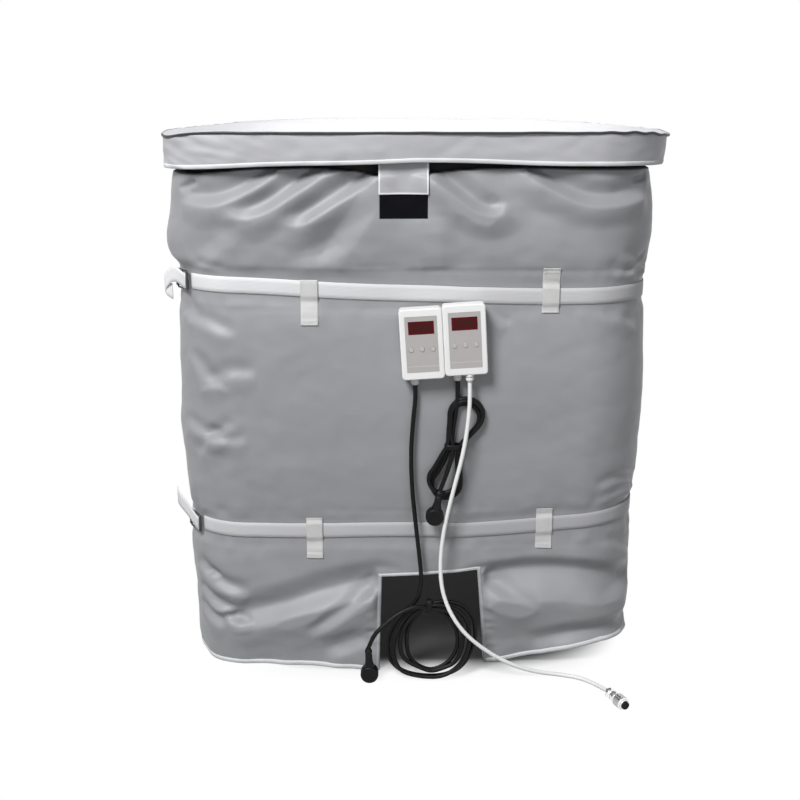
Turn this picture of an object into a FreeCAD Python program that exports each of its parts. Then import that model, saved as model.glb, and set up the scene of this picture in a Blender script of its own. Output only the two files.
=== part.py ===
import FreeCAD
import Part
import math
import os
import Sketcher
from FreeCAD import Placement, Rotation, Vector

# Heating jacket for an intermediate bulk tote, in millimetres.
# Origin: the middle of the footprint, on the ground. +Z is up, the front faces -Y, +X is the front's right.

doc = FreeCAD.newDocument("tote_heating_blanket")

# Driving dimensions

SIZES = (
    ("tote_width", 845, "the tote that the jacket fits, across the front"),
    ("tote_depth", 1200, "the tote, front to back"),
    ("tote_corner", 100, "the tote's upright corner radius"),
    ("tote_fit", 2, "room between the tote and the lining"),
    ("lining_thickness", 0.8, "inner lining cloth"),
    ("wire_room", 3.6, "space for the heating wire behind the lining"),
    ("wall_padding", 18, "wadding in the wall"),
    ("cover_ease", 1, "slack between wadding and cover under the straps"),
    ("cover_thickness", 1.4, "coated cover cloth"),
    ("wall_height", 1018, "ground to the wall's top edge"),
    ("upper_strap_height", 760, "upper waist of the cover"),
    ("lower_strap_height", 292, "lower waist of the cover"),
    ("waist_half", 36, "half the height of the flat waist under a strap"),
    ("bulge_lower", 6, "how far the cover puffs out below the lower strap"),
    ("bulge_middle", 10, "the same between the straps"),
    ("bulge_upper", 8, "the same above the upper strap"),
    ("shoulder_drop", 46, "wall's top edge down to where the cover is drawn in under the lid's skirt"),
    ("flare_out", 30, "how far the left flap stands out at the cut-out's foot"),
    ("flare_height", 205, "height where the flap's flare ends"),
    ("cutout_left_foot", -64, "cut-out for the tote's outlet: left edge at the ground"),
    ("cutout_left_top", -59, "the same at its top"),
    ("cutout_right_foot", 148, "right edge at the ground"),
    ("cutout_right_top", 131, "the same at its top"),
    ("cutout_height_left", 188, "top edge at the left"),
    ("cutout_height_right", 203, "top edge at the right"),
    ("hem_lift", 46, "how far the right flap's hem is lifted off the ground"),
    ("hem_lift_x", 378, "where the lift is whole, across the front"),
    ("hem_lift_y", -500, "where the lift starts to fall, along the right side"),
    ("hem_lift_end", -230, "where the hem is back on the ground"),
    ("binding_thickness", 0.8, "binding tape"),
    ("binding_width", 13, "binding tape on the cloth's face"),
    ("binding_gap", 0.1, "tape to cloth"),
    ("edge_web", 1.5, "tape folded over a cut edge"),
    ("strap_width", 30, "webbing width"),
    ("strap_thickness", 1.6, "webbing thickness"),
    ("strap_gap", 0.3, "webbing to cover"),
    ("strap_bend_x", 100, "where a strap's line bends, across the front"),
    ("upper_strap_left", 13, "upper strap above its waist's middle, at the left"),
    ("upper_strap_right", -10, "the same at the right"),
    ("lower_strap_left", -5, "lower strap above its waist's middle, at the left"),
    ("lower_strap_right", 20, "the same at the right"),
    ("buckle_start", 46, "where the buckle starts, round the left front corner, degrees"),
    ("buckle_end", 66, "where it ends, degrees"),
    ("buckle_wire", 3.5, "wire of the ring buckle"),
    ("buckle_tall", 38, "ring buckle, outside height"),
    ("tail_thickness", 1.6, "webbing of the strap's free tail"),
    ("loop_width", 32, "belt loop, along the strap"),
    ("loop_length", 84, "belt loop, up the wall"),
    ("loop_thickness", 1.2, "belt loop cloth"),
    ("loop_room", 0.5, "belt loop to webbing"),
    ("flap_centre", -350, "closing flap, along the left side"),
    ("flap_width", 110, "closing flap, width"),
    ("flap_thickness", 1.2, "closing flap cloth"),
    ("flap_foot", 22, "closing flap, lower end above the ground"),
    ("flap_head", 960, "closing flap, upper end"),
    ("hook_width", 50, "hook strip under the flap"),
    ("hook_thickness", 1.3, "hook strip"),
    ("cloth_gap", 0.2, "cloth to cloth"),
    ("lid_fit", 4.7, "cover to the lid's lining"),
    ("lid_lining_thickness", 0.8, "lid lining cloth"),
    ("layer_gap", 0.3, "between the lid's layers"),
    ("lid_skirt_padding", 8, "wadding in the skirt"),
    ("lid_top_padding", 22, "wadding in the lid's top"),
    ("lid_cover_thickness", 1.2, "lid cover cloth"),
    ("lid_flare", 9, "how far the skirt opens out towards the top"),
    ("lid_crown", 11, "how far the lid's top is domed"),
    ("lid_hem_left", 40, "wall's top edge down to the skirt's hem at the left"),
    ("lid_hem_middle", 27, "the same in the middle"),
    ("lid_hem_right", 35, "the same at the right"),
    ("lid_rest_gap", 0.3, "lid lining above the wall's top edge"),
    ("piping_diameter", 3.4, "piping round the lid's top edge"),
    ("tab_left", -61, "lid tab, left edge"),
    ("tab_width", 90, "lid tab, width"),
    ("tab_top_drop", 16, "wall's top edge down to the lid tab's upper edge, behind the skirt"),
    ("tab_length", 68, "lid tab, height"),
    ("tab_thickness", 1.2, "lid tab cloth"),
    ("patch_top_drop", 62, "wall's top edge down to the loop patch's upper edge"),
    ("patch_length", 64, "loop patch, height"),
    ("patch_thickness", 0.9, "loop patch"),
    ("case_width", 79, "controller case"),
    ("case_tall", 132, "controller case"),
    ("rear_depth", 16, "rear case"),
    ("front_depth", 14, "front case"),
    ("case_wall", 2.2, "case wall"),
    ("case_corner", 7, "case corner radius"),
    ("case_edge", 2.5, "rounding of the case's front and back edges"),
    ("case_tilt", 3.5, "how the controllers hang, degrees"),
    ("left_case_x", 17.5, "left controller's centre"),
    ("left_case_z", 667, "left controller's centre"),
    ("right_case_x", 96.5, "right controller's centre"),
    ("right_case_z", 675, "right controller's centre"),
    ("pad_room", 2, "hook and loop between the cover and a controller"),
    ("panel_width", 59, "grey panel on the controller's front"),
    ("panel_tall", 104, "grey panel"),
    ("panel_recess", 1.2, "panel's seat in the front case"),
    ("panel_thickness", 0.8, "grey panel"),
    ("panel_fit", 0.25, "panel in its seat"),
    ("window_width", 47, "display window"),
    ("window_tall", 24, "display window"),
    ("window_up", 31, "display window's centre above the case's"),
    ("window_thickness", 2, "display window"),
    ("button_diameter", 8.4, "button cap"),
    ("button_room", 0.3, "button cap in its hole"),
    ("button_pitch", 20, "between buttons"),
    ("button_down", 9, "buttons below the case's centre"),
    ("button_stand", 1.2, "button cap proud of the panel"),
    ("button_flange", 1.5, "width of the rim that keeps a button in"),
    ("button_travel", 0.8, "how far a button is pressed"),
    ("board_thickness", 1.6, "circuit board"),
    ("boss_diameter", 7, "screw boss"),
    ("screw_diameter", 3, "case screw"),
    ("screw_head", 5.6, "case screw's head"),
    ("screw_inset", 8.5, "screw from the case's edges"),
    ("gland_diameter", 15, "cable gland"),
    ("gland_length", 14, "cable gland"),
    ("gland_neck", 10, "cable gland's neck in the case"),
    ("mains_gland_depth", 9.5, "mains gland in front of the controller's back, in the rear case"),
    ("sensor_gland_depth", 21.5, "sensor gland in front of the back, in the front case"),
    ("mains_gland_x", -16.5, "mains gland from the case's centre"),
    ("sensor_gland_x", 5.5, "sensor gland from the case's centre"),
    ("mains_diameter", 8.5, "black mains cord"),
    ("sensor_diameter", 8, "white cord"),
    ("wire_diameter", 3.2, "heating wire"),
    ("lower_wire_pitch", 75, "between rows of the lower heating wire"),
    ("upper_wire_pitch", 42, "between rows of the upper heating wire"),
    ("wire_rows", 6, "rows in each heating zone"),
    ("left_lead_z", -40, "left controller's lead, from the case's centre"),
    ("right_lead_z", 40, "right controller's lead, from the case's centre"),
    ("sensor_pad", 14, "temperature sensor disc"),
    ("lead_diameter", 5, "lead from a controller into the wall"),
    ("coil_thick", 19, "left cord's coil, front to back"),
    ("coil_lean", 12.5, "how the coil leans back, degrees"),
    ("tie_thickness", 1.5, "cord tie"),
    ("hank_thick", 15, "right cord's hank, front to back"),
    ("plug_head", 35, "right-angle plug's head"),
    ("plug_thick", 22, "right-angle plug's head, front to back"),
    ("plug_relief", 36, "right-angle plug's strain relief, beyond the head"),
    ("plug_relief_end", 13, "strain relief where the cord enters"),
    ("plug_pin", 4.8, "plug pin"),
    ("plug_pin_length", 18, "plug pin"),
    ("plug_pin_pitch", 19, "plug pins, centre to centre"),
    ("connector_ring", 25, "coupling ring's diameter"),
    ("connector_barrel", 18, "connector shell's front tube"),
    ("connector_bore", 15.4, "front tube's bore"),
    ("connector_fit", 0.3, "coupling ring on the shell"),
)

sheet = doc.addObject("Spreadsheet::Sheet", "Sizes")
for row, (alias, value, meaning) in enumerate(SIZES, start=1):
    sheet.set(f"A{row}", meaning)
    sheet.set(f"B{row}", str(value))
    sheet.setAlias(f"B{row}", alias)
doc.recompute()


def size(alias):
    """A driving dimension, read from the sheet."""
    return float(sheet.get(alias))


# Heights and offsets that follow from the sizes. Each offset is measured outward from the tote's face.

LINING_IN = size("tote_fit")
LINING_OUT = LINING_IN + size("lining_thickness")
PADDING_IN = LINING_OUT + size("wire_room")
PADDING_OUT = PADDING_IN + size("wall_padding")
COVER_IN = PADDING_OUT + size("cover_ease")
COVER_OUT = COVER_IN + size("cover_thickness")
STRAP_IN = COVER_OUT + size("strap_gap")
STRAP_OUT = STRAP_IN + size("strap_thickness")
FLAP_STACK = 2 * size("cloth_gap") + size("hook_thickness") + size("flap_thickness")
HALF_X = size("tote_width") / 2
HALF_Y = size("tote_depth") / 2
WALL_TOP = size("wall_height")
SHOULDER = WALL_TOP - size("shoulder_drop")
TAB_HEAD = WALL_TOP - size("tab_top_drop")
TAB_FOOT = TAB_HEAD - size("tab_length")
PATCH_HEAD = WALL_TOP - size("patch_top_drop")
PATCH_FOOT = PATCH_HEAD - size("patch_length")
HEM_LEFT, HEM_MIDDLE, HEM_RIGHT = (WALL_TOP - size("lid_hem_" + word) for word in ("left", "middle", "right"))
FAR = 2 * (size("tote_width") + size("tote_depth"))

LID_LINING_IN = COVER_OUT + size("lid_fit")
LID_LINING_OUT = LID_LINING_IN + size("lid_lining_thickness")
LID_PADDING_IN = LID_LINING_OUT + size("layer_gap")
LID_PADDING_OUT = LID_PADDING_IN + size("lid_skirt_padding")
LID_COVER_IN = LID_PADDING_OUT + size("layer_gap")
LID_COVER_OUT = LID_COVER_IN + size("lid_cover_thickness")
LID_LINING_LOW = WALL_TOP + size("lid_rest_gap")
LID_LINING_TOP = LID_LINING_LOW + size("lid_lining_thickness")
LID_PADDING_LOW = LID_LINING_TOP + size("layer_gap")
LID_PADDING_TOP = LID_PADDING_LOW + size("lid_top_padding")
LID_COVER_LOW = LID_PADDING_TOP + size("layer_gap")
LID_EDGE = LID_COVER_LOW + size("lid_cover_thickness")
LID_LOW = min(HEM_LEFT, HEM_MIDDLE, HEM_RIGHT) - size("binding_width")

nodes = []


def feature(name, shape):
    """One sub-part whose shape is worked out by this script from the sheet's sizes."""
    solid = doc.addObject("Part::Feature", name)
    solid.Shape = shape
    solid.Label = name
    nodes.append(solid)
    return solid


def box(low, high):
    """Box between two corners."""
    size_x, size_y, size_z = (high[k] - low[k] for k in range(3))
    return Part.makeBox(size_x, size_y, size_z, Vector(*low))


def prism(points, axis, start, end):
    """Flat outline pushed along one axis. Points are the two other coordinates, in X, Y, Z order."""
    def corner(point, place):
        values = list(point)
        values.insert("XYZ".index(axis), place)
        return Vector(*values)

    wire = Part.makePolygon([corner(point, start) for point in points] + [corner(points[0], start)])
    return Part.Face(wire).extrude(corner((0, 0), end - start))


# The wall's shape: a rounded plan that puffs out between the straps and flares at the cut-out

def outline(height, half_x, half_y, radius, lean=0.0):
    """Closed plan of the wall at a height: straight runs with round corners."""
    left = -half_x + radius
    right = half_x - radius
    tip = (size("cutout_left_foot"), -half_y - lean)
    heel = (size("cutout_right_foot"), -half_y)
    front = [((left, -half_y), tip), (tip, heel), (heel, (right, -half_y))]
    runs = (front if lean else [((left, -half_y), (right, -half_y))]) + [
        (-90, right, -half_y + radius),
        ((half_x, -half_y + radius), (half_x, half_y - radius)),
        (0, right, half_y - radius),
        ((right, half_y), (left, half_y)),
        (90, left, half_y - radius),
        ((-half_x, half_y - radius), (-half_x, -half_y + radius)),
        (180, left, -half_y + radius),
    ]
    edges = []
    for run in runs:
        if len(run) == 3:
            start, centre_x, centre_y = run
            centre = Vector(centre_x, centre_y, height)
            arc = Part.makeCircle(radius, centre, Vector(0, 0, 1), start, start + 90)
            edges.append(arc)
        else:
            (x1, y1), (x2, y2) = run
            edges.append(Part.makeLine(Vector(x1, y1, height), Vector(x2, y2, height)))
    return Part.Wire(edges)


# Bands of the wall from the ground up: lower end, upper end, and how far the cover puffs out between them
LOWER = size("lower_strap_height")
UPPER = size("upper_strap_height")
WAIST = size("waist_half")
BANDS = (
    (0, LOWER - WAIST, size("bulge_lower")),
    (LOWER - WAIST, LOWER + WAIST, 0),
    (LOWER + WAIST, UPPER - WAIST, size("bulge_middle")),
    (UPPER - WAIST, UPPER + WAIST, 0),
    (UPPER + WAIST, SHOULDER, size("bulge_upper")),
    (SHOULDER, WALL_TOP, 0),
)


def bulge(height):
    """How far the cover stands out from its waists at a height."""
    for low, high, most in BANDS:
        if low < height < high:
            return most * math.sin(math.pi * (height - low) / (high - low))
    return 0.0


def flare(height):
    """How far the left flap's corner stands out at a height. A trace is left at the top of its band."""
    left = max(0.0, 1 - height / size("flare_height"))
    return size("flare_out") * left ** 1.4 + 0.01


made_blocks = {}


def block(band, offset, puffed):
    """Solid inside one band of the wall, up to a face at an offset from the tote."""
    key = (band, round(offset, 4), puffed)
    if key not in made_blocks:
        low, high, most = BANDS[band]
        if band == 0:
            shares = (0, 0.16, 0.34, 0.56, 0.78, 1)
        elif puffed and most:
            shares = (0, 0.2, 0.5, 0.8, 1)
        else:
            shares = (0,)
        sections = []
        for share in shares:
            height = low + share * (high - low)
            grown = offset + (bulge(height) if puffed else 0.0)
            lean = 0.0 if band else flare(height)
            radius = size("tote_corner") + grown
            sections.append(outline(height, HALF_X + grown, HALF_Y + grown, radius, lean))
        if len(sections) > 1:
            made_blocks[key] = Part.makeLoft(sections, True, False)
        else:
            made_blocks[key] = Part.Face(sections[0]).extrude(Vector(0, 0, high - low))
    return made_blocks[key]


def bands_between(low, high):
    """Numbers of the bands that a height range touches."""
    return [k for k, (foot, head, _) in enumerate(BANDS) if foot < high and head > low]


def joined(shapes):
    """One solid from several that touch."""
    return shapes[0].multiFuse(shapes[1:]) if len(shapes) > 1 else shapes[0]


def between(area, inner, outer, puffed=True):
    """What lies in an area between two faces of the wall, at two offsets from the tote."""
    bounds = area.BoundBox
    pieces = []
    for k in bands_between(bounds.ZMin, bounds.ZMax):
        pieces.append(block(k, outer, puffed).common(area).cut(block(k, inner, puffed)))
    return joined([piece for piece in pieces if piece.Solids])


def below_hem(rise):
    """Everything lower than a rise above the wall's bottom edge, which is lifted at the right front."""
    heel = size("cutout_right_foot")
    whole_x = size("hem_lift_x")
    whole_y = size("hem_lift_y")
    end_y = size("hem_lift_end")
    lifted = size("hem_lift") + rise
    deep = -60
    front = prism([(heel, deep), (heel, rise), (whole_x, lifted), (whole_x, deep)], "Y", -FAR, whole_y)
    side = prism(
        [(-FAR, deep), (-FAR, lifted), (whole_y, lifted), (end_y, rise), (end_y, deep)], "X", whole_x, FAR
    )
    return box((-FAR, -FAR, deep), (FAR, FAR, rise)).multiFuse([front, side])


def cutout(grow):
    """The cut-out for the tote's outlet, with its outline grown by some tape."""
    points = [
        (size("cutout_left_foot") - grow, -60),
        (size("cutout_left_foot") - grow, 0),
        (size("cutout_left_top") - grow, size("cutout_height_left") + grow),
        (size("cutout_right_top") + grow, size("cutout_height_right") + grow),
        (size("cutout_right_foot") + grow, 0),
        (size("cutout_right_foot") + grow, -60),
    ]
    return prism(points, "Y", -FAR, -HALF_Y + size("tote_corner"))


TRIM = size("edge_web") + size("binding_gap")
ALL_BANDS = range(len(BANDS))


def ring(band, inner, outer, puffed):
    """One band of a cloth or wadding layer, trimmed to leave room for the binding tape."""
    shell = block(band, outer, puffed).cut(block(band, inner, puffed))
    if band == 0:
        shell = shell.cut(below_hem(TRIM).fuse(cutout(TRIM)))
    if band == ALL_BANDS[-1]:
        shell = shell.cut(box((-FAR, -FAR, WALL_TOP - TRIM), (FAR, FAR, WALL_TOP + 60)))
    return shell


def tape(band, area, web):
    """Binding tape folded over the wall's edge: the legs in an area, and the web in the edge itself."""
    gap = size("binding_gap")
    thick = size("binding_thickness")
    inside = block(band, LINING_IN - gap - thick, False)
    stack = block(band, COVER_OUT + gap + thick, True).common(area).cut(inside)
    legs = area.cut(web)
    cloth = block(band, COVER_OUT + gap, True).common(legs).cut(block(band, LINING_IN - gap, False))
    return stack.cut(cloth)


def cover_y(height, offset=0.0):
    """Y of the cover's front face at a height, or of a face further out."""
    return -(HALF_Y + COVER_OUT + bulge(height) + offset)


# Folds that the straps, the lid and the cut-out draw in the front of the cover:
# middle x, middle z, length, slope in degrees, width, height
FOLDS = (
    (-250, 936, 225, 18, 22, 5),
    (-190, 914, 250, 20, 24, 5),
    (-362, 912, 85, -19, 16, 4),
    (-262, 930, 120, 27, 16, 4),
    (96, 938, 110, -30, 20, 5),
    (205, 926, 150, -14, 20, 4),
    (320, 935, 130, -9, 18, 4),
    (-330, 690, 110, -32, 15, 3.5),
    (-352, 655, 90, -38, 14, 3),
    (-205, 118, 285, 26, 26, 5),
    (-255, 160, 190, 17, 20, 4),
    (-372, 120, 70, 40, 14, 3.5),
    (222, 148, 190, -36, 24, 5),
    (280, 190, 160, -20, 18, 4),
    (362, 210, 90, -30, 15, 3.5),
    (-330, 356, 120, 24, 16, 3.5),
    (345, 372, 110, -22, 16, 3.5),
)


def fold(middle_x, middle_z, length, slope, width, height):
    """A fold of cloth: a long ridge that rises to its middle and dies out at both ends."""
    turn = math.radians(slope)
    along = (math.cos(turn) * length / 2, math.sin(turn) * length / 2)
    across = (-math.sin(turn) * width / 2, math.cos(turn) * width / 2)
    plan = [
        (middle_x - along[0], middle_z - along[1]),
        (middle_x + across[0], middle_z + across[1]),
        (middle_x + along[0], middle_z + along[1]),
        (middle_x - across[0], middle_z - across[1]),
    ]
    root = size("cover_thickness") / 2
    lean = flare(middle_z) * 0.5
    rim = [Vector(x, cover_y(z, -root) - lean * (x < 0), z) for x, z in plan]
    back = [point + Vector(0, 6 * height, 0) for point in rim]
    top = Vector(middle_x, cover_y(middle_z, height) - lean * (middle_x < 0), middle_z)
    faces = [Part.Face(Part.makePolygon([rim[k], rim[(k + 1) % 4], top, rim[k]])) for k in range(4)]
    for k in range(4):
        nxt = (k + 1) % 4
        faces.append(Part.Face(Part.makePolygon([rim[k], rim[nxt], back[nxt], rim[k]])))
        faces.append(Part.Face(Part.makePolygon([rim[k], back[nxt], back[k], rim[k]])))
    faces.append(Part.Face(Part.makePolygon([back[0], back[1], back[2], back[0]])))
    faces.append(Part.Face(Part.makePolygon([back[0], back[2], back[3], back[0]])))
    ridge = Part.Solid(Part.Shell(faces))
    if ridge.Volume < 0:
        ridge.reverse()
    return ridge


hollow = COVER_IN + size("cover_thickness") / 3
cover_bands = []
for k in ALL_BANDS:
    low, high, _ = BANDS[k]
    shell = ring(k, COVER_IN, COVER_OUT, True)
    ridges = [fold(*values).cut(block(k, hollow, True)) for values in FOLDS if low < values[1] < high]
    cover_bands.append(shell.multiFuse(ridges) if ridges else shell)

# Controllers: places that the wall's pieces share

CASE_DEPTH = size("rear_depth") + size("front_depth")
CASE_FOOT = size("left_case_z") - size("case_tall") / 2
CASE_BACK = -(HALF_Y + COVER_OUT + bulge(CASE_FOOT) + size("pad_room"))
CASES = {
    "left": (size("left_case_x"), size("left_case_z")),
    "right": (size("right_case_x"), size("right_case_z")),
}


def case_place(side):
    """Where a controller hangs: its back's middle, tilted in the wall's plane."""
    centre_x, centre_z = CASES[side]
    return Placement(Vector(centre_x, CASE_BACK, centre_z), Rotation(Vector(0, -1, 0), size("case_tilt")))


def case_point(side, x, depth, z):
    """A point of a controller, from its own frame to the jacket's."""
    return case_place(side).multVec(Vector(x, -depth, z))


# A lead runs from each controller straight through the wall to a row of its heating wire
LEADS = {
    "left": (size("left_lead_z"), size("lower_wire_pitch")),
    "right": (size("right_lead_z"), size("upper_wire_pitch")),
}


def lead_start(side):
    """Where a controller's lead leaves its back."""
    return case_point(side, 0, 0, LEADS[side][0])


def lead_hole(side, room):
    """A straight hole for a lead, from inside the controller to the heating wire."""
    start = lead_start(side)
    wire_y = -(HALF_Y + LINING_OUT + size("wire_room") / 2 + size("wire_diameter") / 2)
    first = start.y - size("case_wall") - 3
    radius = size("lead_diameter") / 2 + room
    return Part.makeCylinder(radius, wire_y - first, Vector(start.x, first, start.z), Vector(0, 1, 0))


def bent_path(points):
    """Straight runs joined by tangent arcs, each as large as its two runs allow. Gives wire and radii."""
    edges = []
    radii = []
    start = points[0]
    for before, corner, after in zip(points, points[1:], points[2:]):
        arriving = (corner - before).normalize()
        leaving = (after - corner).normalize()
        shorter = min((corner - before).Length, (after - corner).Length)
        half_turn = arriving.getAngle(leaving) / 2
        reach = 0.45 * shorter
        radius = reach / math.tan(half_turn)
        first = corner - arriving * reach
        last = corner + leaving * reach
        inward = (leaving - arriving).normalize()
        centre = corner + inward * (radius / math.cos(half_turn))
        middle = centre - inward * radius
        edges.append(Part.LineSegment(start, first).toShape())
        edges.append(Part.Arc(first, middle, last).toShape())
        radii.append(radius)
        start = last
    edges.append(Part.LineSegment(start, points[-1]).toShape())
    return Part.Wire(edges), radii


def tube(name, points, diameter):
    """A round cord along hand-chosen points, with its radii and its volume printed."""
    path, radii = bent_path([Vector(*point) for point in points])
    heading = path.Edges[0].tangentAt(path.Edges[0].FirstParameter)
    ring = Part.Wire(Part.makeCircle(diameter / 2, Vector(*points[0]), heading))
    solid = path.makePipeShell([ring], True, False)
    share = solid.Volume / (math.pi * diameter ** 2 / 4 * path.Length)
    tightest = min(radii) / diameter
    print(f"{name}: length {path.Length:.1f}, volume share {share:.4f}, tightest {tightest:.1f} diameters")
    print("   radii", [round(radius) for radius in radii])
    return solid


lead_rooms = joined([lead_hole(side, size("layer_gap")) for side in CASES])
feature("outer_cover", joined(cover_bands).cut(lead_rooms))
waist_up = (BANDS[1][0], WALL_TOP - TRIM)
for name, inner, outer in (("insulation", PADDING_IN, PADDING_OUT), ("inner_lining", LINING_IN, LINING_OUT)):
    low, high = waist_up
    upper_part = []
    for offset in (outer, inner):
        plan = outline(low, HALF_X + offset, HALF_Y + offset, size("tote_corner") + offset)
        upper_part.append(Part.Face(plan).extrude(Vector(0, 0, high - low)))
    shell = ring(0, inner, outer, False).fuse(upper_part[0].cut(upper_part[1]))
    feature(name, shell.cut(lead_rooms) if name == "insulation" else shell)

# Binding tape: hem, cut-out and top edge

hem_line = below_hem(0)
hem_area = below_hem(size("binding_width")).cut(hem_line)
hem_web = below_hem(size("edge_web")).cut(hem_line)
feature("hem_binding", tape(0, hem_area, hem_web).cut(cutout(size("binding_width") + size("layer_gap"))))

above_ground = box((-FAR, -FAR, 0), (FAR, FAR, WALL_TOP))
cut_area = cutout(size("binding_width")).cut(cutout(0)).common(above_ground)
cut_web = cutout(size("edge_web")).cut(cutout(0)).common(above_ground)
feature("cutout_binding", tape(0, cut_area, cut_web))

top_area = box((-FAR, -FAR, WALL_TOP - size("binding_width")), (FAR, FAR, WALL_TOP))
top_web = box((-FAR, -FAR, WALL_TOP - size("edge_web")), (FAR, FAR, WALL_TOP))
feature("top_binding", tape(ALL_BANDS[-1], top_area, top_web))


# Heating wires: rows round the wall behind the lining, turning back beside the closing seam

def heating_wire(foot, pitch):
    """One zone's wire, as a single path of rows and half-round returns."""
    offset = LINING_OUT + size("wire_room") / 2
    half_x = HALF_X + offset
    half_y = HALF_Y + offset
    radius = size("tote_corner") + offset
    seam = size("flap_centre")
    near = seam - 0.6 * pitch
    far = seam + 0.6 * pitch
    edges = []
    for row in range(int(size("wire_rows"))):
        z = foot + row * pitch
        corners = (
            (-half_x + radius, -half_y + radius, 180),
            (half_x - radius, -half_y + radius, 270),
            (half_x - radius, half_y - radius, 0),
            (-half_x + radius, half_y - radius, 90),
        )
        line = [Part.makeLine(Vector(-half_x, near, z), Vector(-half_x, -half_y + radius, z))]
        for k, (x, y, start) in enumerate(corners):
            arc = Part.makeCircle(radius, Vector(x, y, z), Vector(0, 0, 1), start, start + 90)
            line.append(arc)
            if k < 3:
                next_x, next_y, next_start = corners[k + 1]
                turn = math.radians(next_start)
                out = Vector(math.cos(turn), math.sin(turn), 0) * radius
                line.append(Part.makeLine(arc.Vertexes[-1].Point, Vector(next_x, next_y, z) + out))
        line.append(Part.makeLine(Vector(-half_x, half_y - radius, z), Vector(-half_x, far, z)))
        if row % 2:
            line.reverse()
        edges += line
        if row + 1 < int(size("wire_rows")):
            y = near if row % 2 else far
            bow = -pitch / 2 if not row % 2 else pitch / 2
            first = Vector(-half_x, y, z)
            middle = Vector(-half_x, y + bow, z + pitch / 2)
            edges.append(Part.Arc(first, middle, Vector(-half_x, y, z + pitch)).toShape())
    path = Part.Wire(Part.sortEdges(edges)[0])
    start = path.OrderedVertexes[0].Point
    heading = Vector(0, 1, 0)
    ring = Part.Wire(Part.makeCircle(size("wire_diameter") / 2, start, heading))
    return path.makePipeShell([ring], True, False)


LOWER_ROW = lead_start("left").z - (size("wire_rows") - 1) * size("lower_wire_pitch")
UPPER_ROW = lead_start("right").z
feature("lower_heating_wire", heating_wire(LOWER_ROW, size("lower_wire_pitch")))
feature("upper_heating_wire", heating_wire(UPPER_ROW, size("upper_wire_pitch")))

sensor_y = -(HALF_Y + LINING_OUT + size("layer_gap"))
sensors = []
for foot, pitch in ((LOWER_ROW, size("lower_wire_pitch")), (UPPER_ROW, size("upper_wire_pitch"))):
    centre = Vector(size("tote_width") / 4, sensor_y, foot + 2.5 * pitch)
    thick = size("wire_room") - 2 * size("layer_gap")
    sensors.append(Part.makeCylinder(size("sensor_pad") / 2, thick, centre, Vector(0, -1, 0)))
feature("temperature_sensors", Part.makeCompound(sensors))
feature("controller_leads", Part.makeCompound([lead_hole(side, 0) for side in CASES]))


# Closing flap on the left side, over the seam where the jacket opens

def on_cover(area, inner, outer):
    """Cloth that lies on the cover, between two offsets from the cover's face."""
    return between(area, COVER_OUT + inner, COVER_OUT + outer)


def left_area(width):
    """A band up the left side, as wide as given, centred on the seam."""
    middle = size("flap_centre")
    low = (-FAR, middle - width / 2, size("flap_foot"))
    return box(low, (-HALF_X, middle + width / 2, size("flap_head")))


hook_in = size("cloth_gap")
hook_out = hook_in + size("hook_thickness")
feature("closing_hook_strip", on_cover(left_area(size("hook_width")), hook_in, hook_out))
flap_in = hook_out + size("cloth_gap")
feature("closing_flap", on_cover(left_area(size("flap_width")), flap_in, flap_in + size("flap_thickness")))

tab_left = size("tab_left")
tab_right = tab_left + size("tab_width")
patch_in = size("cloth_gap")
patch_out = patch_in + size("patch_thickness")
patch_area = box(
    (tab_left + 3, -FAR, PATCH_FOOT), (tab_right - 3, -HALF_Y, PATCH_HEAD)
)
feature("loop_patch", on_cover(patch_area, patch_in, patch_out))


# Straps: webbing rings round the waists, open at the left front corner where the buckles are

def strap_band(which, half_width):
    """A band of a strap's height and line, right through the jacket."""
    middle = size(which + "_strap_height")
    left = middle + size(which + "_strap_left")
    right = middle + size(which + "_strap_right")
    bend = size("strap_bend_x")
    if which == "upper":
        line = [(-FAR, left), (-HALF_X, left), (bend, right), (FAR, right)]
    else:
        line = [(-FAR, left), (bend, left), (HALF_X, right), (FAR, right)]
    upper = [(x, z + half_width) for x, z in line]
    lower = [(x, z - half_width) for x, z in reversed(line)]
    return prism(lower + upper, "Y", -FAR, FAR)


CORNER = Vector(-HALF_X + size("tote_corner"), -HALF_Y + size("tote_corner"), 0)


def corner_sector(start, end):
    """The part of the left front corner between two angles, measured from straight ahead."""
    points = [(CORNER.x, CORNER.y)]
    for angle in (start, end):
        turn = math.radians(angle)
        points.append((CORNER.x - FAR * math.sin(turn), CORNER.y - FAR * math.cos(turn)))
    return prism(points, "Z", 0, WALL_TOP)


def shifted(shape):
    """A shape, and the same moved out on the left side to clear the closing flap."""
    moved = shape.copy()
    moved.translate(Vector(-FLAP_STACK, 0, 0))
    return shape.fuse(moved)


def strap(which):
    """One strap's ring, without the corner where its buckle sits."""
    number = 3 if which == "upper" else 1
    band = strap_band(which, size("strap_width") / 2)
    outer = shifted(block(number, STRAP_OUT, True)).common(band)
    inner = shifted(block(number, STRAP_IN, True))
    return outer.cut(inner).cut(corner_sector(size("buckle_start"), size("buckle_end")))


# Belt loops: side, place along the side, and how far the loop's middle sits below the strap's
LOOPS = {
    "upper": (
        ("front", -189.5, 25), ("front", 255, -10),
        ("right", -300, 0), ("right", 80, 8), ("right", 430, -4),
        ("back", -240, 6), ("back", 240, -5),
        ("left", -180, 8), ("left", 110, -6), ("left", 430, 3),
    ),
    "lower": (
        ("front", -189.5, 16), ("front", 258.5, 8),
        ("right", -300, 5), ("right", 80, -4), ("right", 430, 6),
        ("back", -240, -4), ("back", 240, 5),
        ("left", -180, 6), ("left", 110, -3), ("left", 430, 5),
    ),
}


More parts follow.
